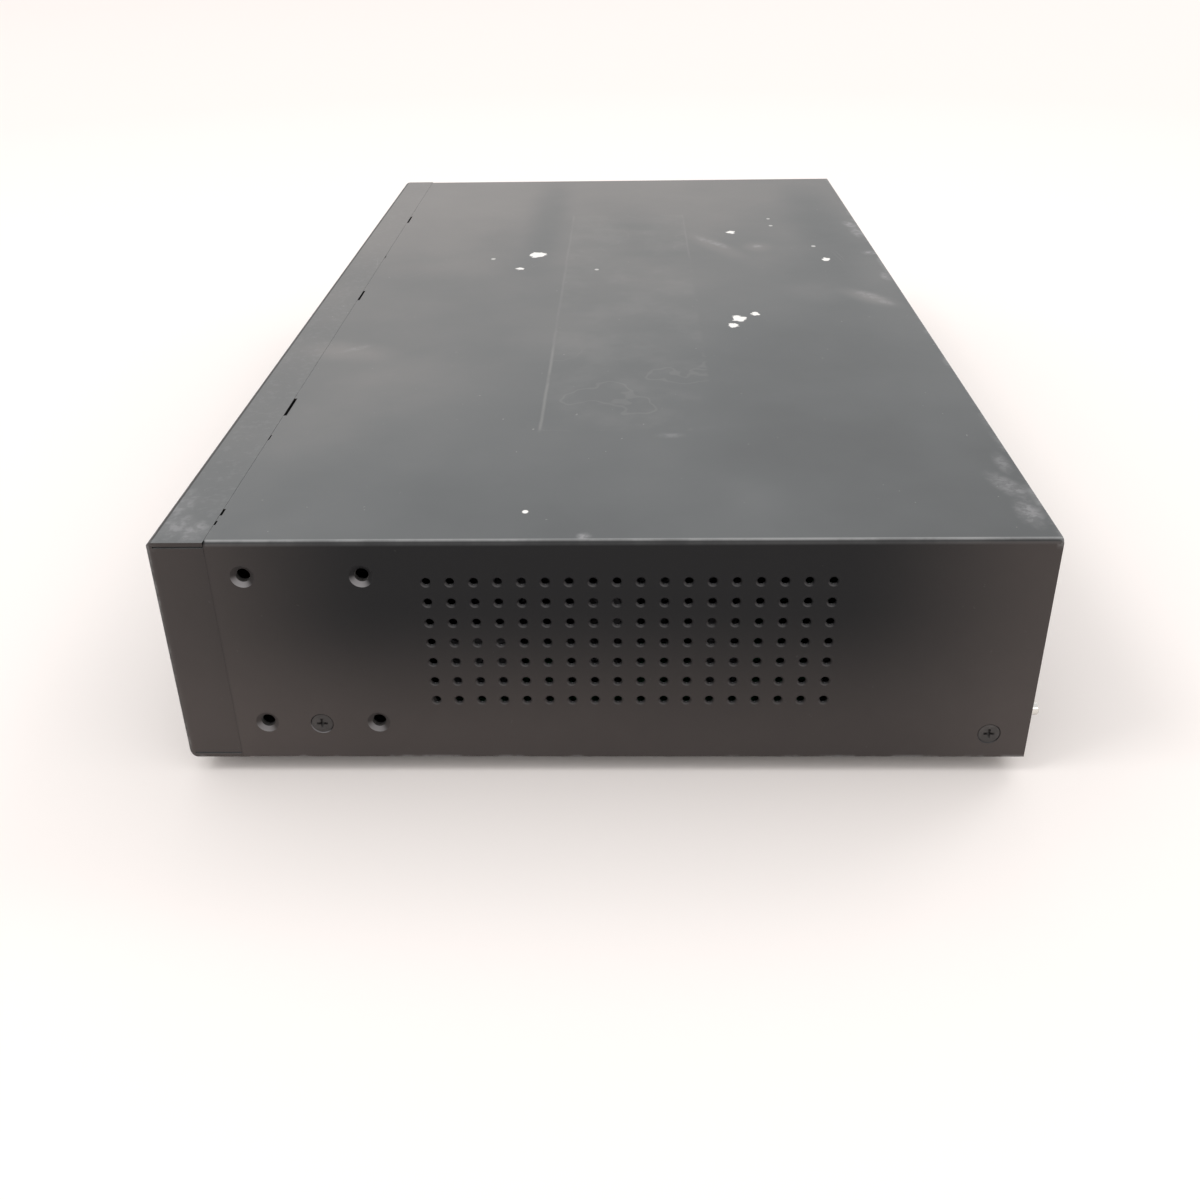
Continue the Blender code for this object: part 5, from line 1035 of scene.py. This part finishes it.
# ------------------------------------------------------------- rear sockets
def make_bnc():
    tip = YR + 9.5
    for side, columns in (("left", BNC_X[:4]), ("right", BNC_X[4:])):
        x0, x1 = columns[0] - 8.2, columns[-1] + 8.2
        body = box(x0, x1, 98.0, REAR_IN - GAP, BOARD_Z + GAP, 60.5, 0.4)
        body = cut(body, box(x0 + 1.5, x1 - 1.5, 95.0, 111.5, BOARD_Z - 3, 59.0))
        parts = [(body, "socket")]
        for x in columns:
            for z in BNC_Z:
                barrel = lathe([
                    (3.95, REAR_OUT + 1.0), (3.95, tip - 0.5), (4.15, tip - 0.12), (4.4, tip), (4.62, tip - 0.1), (4.8, tip - 0.4), (4.8, tip - 2.1), (4.5, tip - 2.4), (4.5, tip - 4.6), (4.8, tip - 4.9),
                    (4.8, REAR_OUT + 1.15), (5.1, REAR_OUT + 1.05), (5.1, REAR_IN - GAP), (3.95, REAR_IN - GAP), (3.95, REAR_OUT + 1.0),
                ], 40, (x, 0, z))
                parts.append((barrel, "nickel"))
                parts.append((lathe([(0, REAR_IN), (3.9, REAR_IN), (3.9, REAR_OUT + 2.0), (2.35, REAR_OUT + 2.0), (2.35, tip - 2.0), (2.15, tip - 1.6), (0.95, tip - 1.6), (0.95, REAR_OUT + 3.5), (0, REAR_OUT + 3.5)], 32, (x, 0, z)), "white"))
                parts.append((lathe([(0.38, REAR_OUT + 3.6), (0.38, tip - 2.5), (0.5, tip - 2.3), (0.7, tip - 2.3), (0.82, tip - 2.5), (0.82, REAR_OUT + 3.6), (0.38, REAR_OUT + 3.6)], 20, (x, 0, z)), "gold"))
                for s in (-1, 1):
                    parts.append((lug(x, z, tip, s), "nickel"))
        piece(f"video_sockets_{side}", parts, nodes=(f"bnc_block_{side}",), angle=32)


def lug(x, z, tip, s):
    made = rod(0.85, 4.0, 5.9, (0, 0, 0), "X", 16, 0.15)
    if s < 0:
        mirror_x(made)
    made.data.transform(Matrix.Translation(Vector((x, tip - 3.6, z)) * MM))
    return made


def make_rca():
    body = box(RCA_X[0] - 6.6, RCA_X[1] + 6.6, 100.0, REAR_IN - GAP, BOARD_Z + GAP, 59.0, 0.4)
    parts = [(body, "socket")]
    for x in RCA_X:
        for z in BNC_Z:
            colour = "red" if x == RCA_X[0] else "white"
            parts.append((lathe([(0, REAR_IN - GAP), (4.35, REAR_IN - GAP), (4.35, REAR_OUT + 1.4), (4.2, REAR_OUT + 1.6), (0, REAR_OUT + 1.6)], 36, (x, 0, z)), colour))
            shell = lathe([(3.25, REAR_OUT + 1.6), (3.25, YR + 7.6), (3.45, YR + 7.95), (3.8, YR + 8.0), (4.05, YR + 7.8), (4.15, YR + 7.4), (4.15, REAR_OUT + 1.6), (3.25, REAR_OUT + 1.6)], 36, (x, 0, z))
            parts.append((shell, "nickel"))
            parts.append((lathe([(0, REAR_OUT + 1.6), (3.2, REAR_OUT + 1.6), (3.2, YR + 6.2), (1.75, YR + 6.2), (1.75, YR), (0, YR)], 32, (x, 0, z)), colour))
    piece("audio_sockets", parts, nodes=("audio_rca_block",), angle=32)


def make_vga():
    x, z = -14.0, 20.6
    parts = [(box(x - 15.4, x + 15.4, 102.0, REAR_IN - GAP, BOARD_Z + GAP, z + 6.2, 0.3), "nickel")]
    shell = prism(d_outline(8.5, 7.4, 4.2, x, z, 2.0), REAR_IN - GAP, YR + 4.6)
    shell = cut(shell, prism(d_outline(8.1, 7.0, 3.8, x, z, 1.7), YR + 3.6, YR + 9))
    parts.append((shell, "nickel"))
    insert = prism(d_outline(8.0, 6.9, 3.7, x, z, 1.7), YR + 3.5, YR + 4.35)
    pins = []
    for row, dz in enumerate((1.98, 0.0, -1.98)):
        for i in range(5):
            cx = x - 4.6 + 2.29 * i + (0.6 if row == 1 else 0.0)
            pins.append(rod(0.5, YR + 3.9, YR + 6, (cx, 0, z + dz), "Y", 12))
    parts.append((cut(insert, *pins), "blue"))
    for s in (-1, 1):
        nut = prism(circle(x + s * 12.5, z, 2.45, 6), REAR_IN - GAP, YR + 3.4)
        nut = cut(nut, rod(1.15, YR - 1, YR + 6, (x + s * 12.5, 0, z), "Y", 20))
        parts.append((nut, "nickel"))
    piece("monitor_socket", parts, nodes=("vga_socket",), angle=32)


def make_hdmi():
    x, z0 = 15.0, BOARD_Z + GAP
    top, low = z0 + 6.0, z0 + 0.1

    def outline(shrink):
        a, b, c = 7.45 - shrink, top - shrink, low + shrink
        return [(x - a, b), (x - a, c + 2.3), (x - a + 1.6, c + 0.5), (x - a + 2.2, c), (x + a - 2.2, c), (x + a - 1.6, c + 0.5), (x + a, c + 2.3), (x + a, b)]

    shell = prism(outline(0), 105.0, REAR_OUT + 0.4)
    shell = cut(shell, prism(outline(0.45), 107.0, REAR_OUT + 4))
    parts = [(shell, "nickel"), (box(x - 5.6, x + 5.6, 106.5, REAR_OUT - 1.0, z0 + 2.7, z0 + 3.7, 0.12), "socket")]
    for i in range(10):
        cx = x - 4.5 + i
        parts.append((box(cx - 0.2, cx + 0.2, 107.5, REAR_OUT - 1.4, z0 + 2.64, z0 + 2.72), "gold"))
    piece("digital_video_socket", parts, nodes=("hdmi_socket",))


def make_lan():
    x, z0 = 36.0, BOARD_Z + GAP
    shell = box(x - 8.0, x + 8.0, 99.0, REAR_OUT + 0.6, z0, z0 + 13.6, 0.25)
    shell = cut(shell, box(x - 6.0, x + 6.0, 103.5, REAR_OUT + 4, z0 + 2.8, z0 + 11.2))
    shell = cut(shell, box(x - 3.1, x + 3.1, 106.0, REAR_OUT + 4, z0 + 1.0, z0 + 4.0))
    parts = [(shell, "nickel")]
    for i in range(8):
        cx = x - 3.57 + 1.02 * i
        parts.append((prism([(104.2, z0 + 11.0), (112.4, z0 + 11.0), (113.0, z0 + 10.6), (112.6, z0 + 10.3), (106.0, z0 + 8.9), (105.7, z0 + 9.2), (112.0, z0 + 10.7), (104.2, z0 + 10.7)], cx - 0.22, cx + 0.22, "X"), "gold"))
    for s, look in ((-1, "lens_green"), (1, "lens_amber")):
        parts.append((box(x + s * 5.6 - 1.2, x + s * 5.6 + 1.2, REAR_OUT + 0.35, REAR_OUT + 0.75, z0 + 11.7, z0 + 13.0, 0.12), look))
    piece("network_socket", parts, nodes=("lan_socket",))


def make_rear_usb():
    x, z0, y = 56.0, BOARD_Z + GAP, REAR_OUT + 0.6
    shell = box(x - 6.6, x + 6.6, 100.0, y, z0, z0 + 15.6, 0.3)
    parts = []
    for z in (z0 + 3.9, z0 + 11.6):
        shell = cut(shell, prism(round_rect(x, z, 12.4, 5.0, 0.4, 4), y - 9.5, y + 3))
    parts.append((shell, "nickel"))
    for z in (z0 + 3.9, z0 + 11.6):
        parts.append((box(x - 5.2, x + 5.2, y - 9.8, y - 1.2, z - 0.4, z + 1.4, 0.2), "blue"))
        for i in range(4):
            cx = x - 3.5 + 7.0 * i / 3
            parts.append((box(cx - 0.5, cx + 0.5, y - 9.0, y - 1.8, z - 0.48, z - 0.38), "gold"))
    piece("usb_rear", parts, nodes=("usb_socket_rear",))


def make_terminals():
    x0, x1 = -31.0, 46.0
    board = box(x0 - 2, x1 + 2, 84.0, 114.6, 41.0, 42.6)
    parts = [(board, "keyboard")]
    for x in (x0 + 6, x1 - 6):
        parts.append((rod(2.5, BOARD_Z + GAP, 40.98, (x, 90, 0), "Z", 24), "nickel"))
    header = box(x0, x1, 103.0, 116.6, 42.6, 54.7, 0.25)
    parts.append((header, "green"))
    n = 15
    pitch = (x1 - x0 - 1.0) / n
    plug = prism([(116.7, 42.7), (YR + 5.5, 42.7), (YR + 5.5, 49.2), (YR + 3.6, 50.4), (YR + 3.6, 53.9), (YR + 3.1, 54.4), (116.7, 54.4)], x0 + 0.3, x1 - 0.3, "X")
    holes = [box(x0 + 0.5 + pitch * (i + 0.5) - 1.6, x0 + 0.5 + pitch * (i + 0.5) + 1.6, YR + 0.5, YR + 8, 43.9, 47.9) for i in range(n)]
    wells = [rod(1.55, 52.6, 58, (x0 + 0.5 + pitch * (i + 0.5), YR + 1.3, 0), "Z", 20) for i in range(n)]
    plug = cut(plug, *holes)
    plug = cut(plug, *wells)
    parts.append((plug, "green"))
    grooves = []
    for i in range(n):
        cx = x0 + 0.5 + pitch * (i + 0.5)
        screw = rod(1.4, 52.7, 53.6, (cx, YR + 1.3, 0), "Z", 20, 0.12)
        parts.append((cut(screw, box(cx - 1.6, cx + 1.6, YR + 1.3 - 0.22, YR + 1.3 + 0.22, 53.2, 54.2)), "nickel"))
        parts.append((box(cx - 1.3, cx + 1.3, YR + 0.6, YR + 1.4, 44.1, 47.6, 0.1), "nickel"))
        if i:
            gx = x0 + 0.5 + pitch * i
            parts.append((box(gx - 0.12, gx + 0.12, YR + 5.5, YR + 5.6, 42.9, 49.0), "socket"))
    piece("alarm_terminals", parts, nodes=("alarm_terminal_board",))


def make_inlet():
    y0, y1 = REAR_OUT + GAP, REAR_OUT + GAP + 1.8
    x = INLET_X
    plate = prism(round_rect(x, ZC, 50, 22, 5.0, 8), y0, y1)
    body = [(x - 13.8, ZC - 10.1), (x + 13.8, ZC - 10.1), (x + 13.8, ZC + 5.5), (x + 9.5, ZC + 10.1), (x - 9.5, ZC + 10.1), (x - 13.8, ZC + 5.5)]
    inlet = join(plate, prism(body, 96.0, y0 + 1.0))
    rim = prism([(x + (px - x) * 0.965, ZC + (pz - ZC) * 0.955) for px, pz in body], y1 - 0.3, y1 + 0.7)
    inlet = join(inlet, rim)
    mouth = [(x - 12.2, ZC - 8.2), (x + 12.2, ZC - 8.2), (x + 12.2, ZC + 4.6), (x + 8.6, ZC + 8.2), (x - 8.6, ZC + 8.2), (x - 12.2, ZC + 4.6)]
    inlet = cut(inlet, prism(mouth, 101.0, y1 + 4))
    parts = []
    for s in (-1, 1):
        inlet = cut(inlet, lathe([(0, y0 - 3), (1.8, y0 - 3), (1.8, y1 - 1.3), (3.2, y1), (3.2, y1 + 2), (0, y1 + 2)], 32, (x + s * 20, 0, ZC)))
        head = lathe([(0, y0 - 2.0), (1.5, y0 - 2.0), (1.5, y1 - 1.35), (2.95, y1 - 0.12), (2.85, y1), (0, y1)], 32, (x + s * 20, 0, ZC))
        for tool in cross_recess(x + s * 20, ZC, y1, 1.0, 1.7, 0.3):
            head = cut(head, tool)
        parts.append((head, "screw"))
    parts.insert(0, (soften(inlet, 0.2, 2), "socket"))
    for dx, dz in ((-7, -2), (7, -2), (0, 2)):
        parts.append((box(x + dx - 1, x + dx + 1, 100.8, 113.0, ZC + dz - 2, ZC + dz + 2, 0.45, 3), "nickel"))
    piece("power_inlet", parts, nodes=("mains_inlet",))


def make_switch():
    y0, y1, x, p = REAR_OUT + GAP, REAR_OUT + GAP + 1.5, SWITCH_X, 113.5
    housing = prism(round_rect(x, ZC, 15, 22, 1.5, 5), y0, y1)
    housing = join(housing, box(x - 6.2, x + 6.2, 98.0, y0 + 0.8, ZC - 9.5, ZC + 9.5))
    housing = cut(housing, box(x - 5.1, x + 5.1, 108.4, y1 + 4, ZC - 8.6, ZC + 8.6))
    housing = cut(housing, rod(1.35, -9, 9, (x, p, ZC), "X", 20))
    piece("switch_frame", [(soften(housing, 0.22, 2), "socket")], nodes=("switch_housing",))
    half, n = 7.4, 16
    face = [(3.2 + 2.0 * (abs(2 * i / n - 1)) ** 1.6, -half + 2 * half * i / n) for i in range(n + 1)]
    shape = [(p + y, ZC + z) for y, z in face + [(0.5, half - 0.3), (-3.4, 2.6), (-3.4, -2.6), (0.5, -half + 0.3)]]
    rocker = soften(prism(shape, x - 4.7, x + 4.7, "X"), 0.3, 3)
    parts = [(rocker, "socket"), (rod(1.0, -5.9, 5.9, (x, p, ZC), "X", 20), "nickel")]
    bar = prism(round_rect(x, ZC - 4.6, 0.6, 3.0, 0.25, 3), p + 4.0, p + 4.28)
    ring = lathe([(1.1, p + 3.9), (1.1, p + 4.25), (1.65, p + 4.25), (1.65, p + 3.9), (1.1, p + 3.9)], 32, (x, 0, ZC + 4.6))
    parts += [(bar, "print"), (ring, "print")]
    turn = Matrix.Translation(Vector((x, p, ZC)) * MM) @ Matrix.Rotation(math.radians(9.0), 4, "X") @ Matrix.Translation(-Vector((x, p, ZC)) * MM)
    for part, _ in parts:
        part.data.transform(turn)
    piece("rocker_cap", parts, body="rocker", nodes=("power_rocker",))


def make_fan():
    y0, y1 = REAR_IN - GAP - 20, REAR_IN - GAP
    frame_ = prism(round_rect(FAN_X, ZC, 40, 40, 2.5), y0, y1)
    frame_ = cut(frame_, prism(circle(FAN_X, ZC, 19.2, 64), y0 - 2, y1 + 2))
    frame_ = cut(frame_, *[rod(1.8, y0 - 3, y1 + 3, (FAN_X + sx * 16, 0, ZC + sz * 16), "Y", 20) for sx in (-1, 1) for sz in (-1, 1)])
    hub = rod(8.4, y0, y0 + 2.0, (FAN_X, 0, ZC), "Y", 48)
    for a in (45, 135):
        strut = box(-20.0, 20.0, y0, y0 + 1.6, -1.1, 1.1)
        strut.data.transform(Matrix.Translation(Vector((FAN_X, 0, ZC)) * MM) @ Matrix.Rotation(math.radians(a), 4, "Y"))
        hub = join(hub, strut)
    frame_ = join(frame_, hub)
    bearing = cut(rod(2.6, y0 + 1.0, y0 + 8.0, (FAN_X, 0, ZC), "Y", 24), rod(1.3, y0 + 2.6, y0 + 12.0, (FAN_X, 0, ZC), "Y", 24))
    piece("fan_housing", [(join(frame_, bearing), "socket")], nodes=("fan_frame",))
    r0, r1 = y0 + 2.5, y1 - 1.2
    rotor = lathe([(0, r1), (6.4, r1), (7.4, r1 - 0.3), (8.0, r1 - 1.0), (8.0, r0), (6.8, r0), (6.8, r1 - 1.6), (1.0, r1 - 1.6), (1.0, y0 + 3.0), (0, y0 + 3.0)], 48, (FAN_X, 0, ZC))
    parts = [(rotor, "socket"), (rod(5.2, r1, r1 + 0.06, (FAN_X, 0, ZC), "Y", 48), "grey")]
    middle = (r0 + r1) / 2
    for i in range(7):
        # a cambered, twisted blade from hub to tip
        bm = bmesh.new()
        grid = []
        for u in range(9):
            r = 7.8 + (18.4 - 7.8) * u / 8
            pitch = math.radians(48 - 16 * u / 8)
            row = []
            for side in (1, -1):
                for v in range(9):
                    s = (v / 8 if side > 0 else 1 - v / 8) * 2 - 1
                    chord = 6.4 + 0.25 * u / 8
                    camber = 0.9 * (1 - s * s)
                    thick = (0.55 * (1 - s * s) ** 0.5 + 0.12) * side
                    d, h = s * chord * math.cos(pitch) - (camber + thick) * math.sin(pitch), s * chord * math.sin(pitch) + (camber + thick) * math.cos(pitch)
                    sweep = 0.16 * (u / 8) ** 2
                    ang = math.tau * i / 7 + d / max(r, 1) * 0.92 + sweep
                    row.append(bm.verts.new(Vector((FAN_X + r * math.cos(ang), max(r0 + 0.2, min(r1 - 0.3, middle + h)), ZC + r * math.sin(ang))) * MM))
            grid.append(row)
        n = len(grid[0])
        for one, two in zip(grid, grid[1:]):
            for k in range(n):
                bm.faces.new((one[k], one[(k + 1) % n], two[(k + 1) % n], two[k]))
        bm.faces.new(grid[0])
        bm.faces.new(list(reversed(grid[-1])))
        parts.append((from_bmesh(bm), "socket"))
    piece("fan_wheel", parts, body="rotor", nodes=("fan_rotor",), angle=50)


# ------------------------------------------------------------- inside and other frame pieces
def dress_frame():
    """Gives every frame piece that stays its own procedural look."""
    for node, look in (
        ("base_pan", "tray"), ("status_light_guide", "guide"), ("key_board", "keyboard"), ("main_board", "board"), ("power_supply", "board"), ("heat_sink", "aluminium"),
        ("hard_disk", "aluminium"), ("sata_cable", "cable"), ("supply_harness", "cable"), ("front_ribbon_cable", "ribbon"),
    ):
        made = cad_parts[node]
        if not made.data.materials:
            made.data.materials.append(LOOKS[look])
        for slot in made.material_slots:
            slot.material = LOOKS[look]


make_stage()
make_looks()
make_cover()
make_bezel()
make_rear_plate()
make_screws()
make_feet()
make_keys()
make_dial()
make_window()
make_front_usb()
make_bnc()
make_rca()
make_vga()
make_hdmi()
make_lan()
make_rear_usb()
make_terminals()
make_inlet()
make_switch()
make_fan()
dress_frame()

bpy.context.view_layer.update()
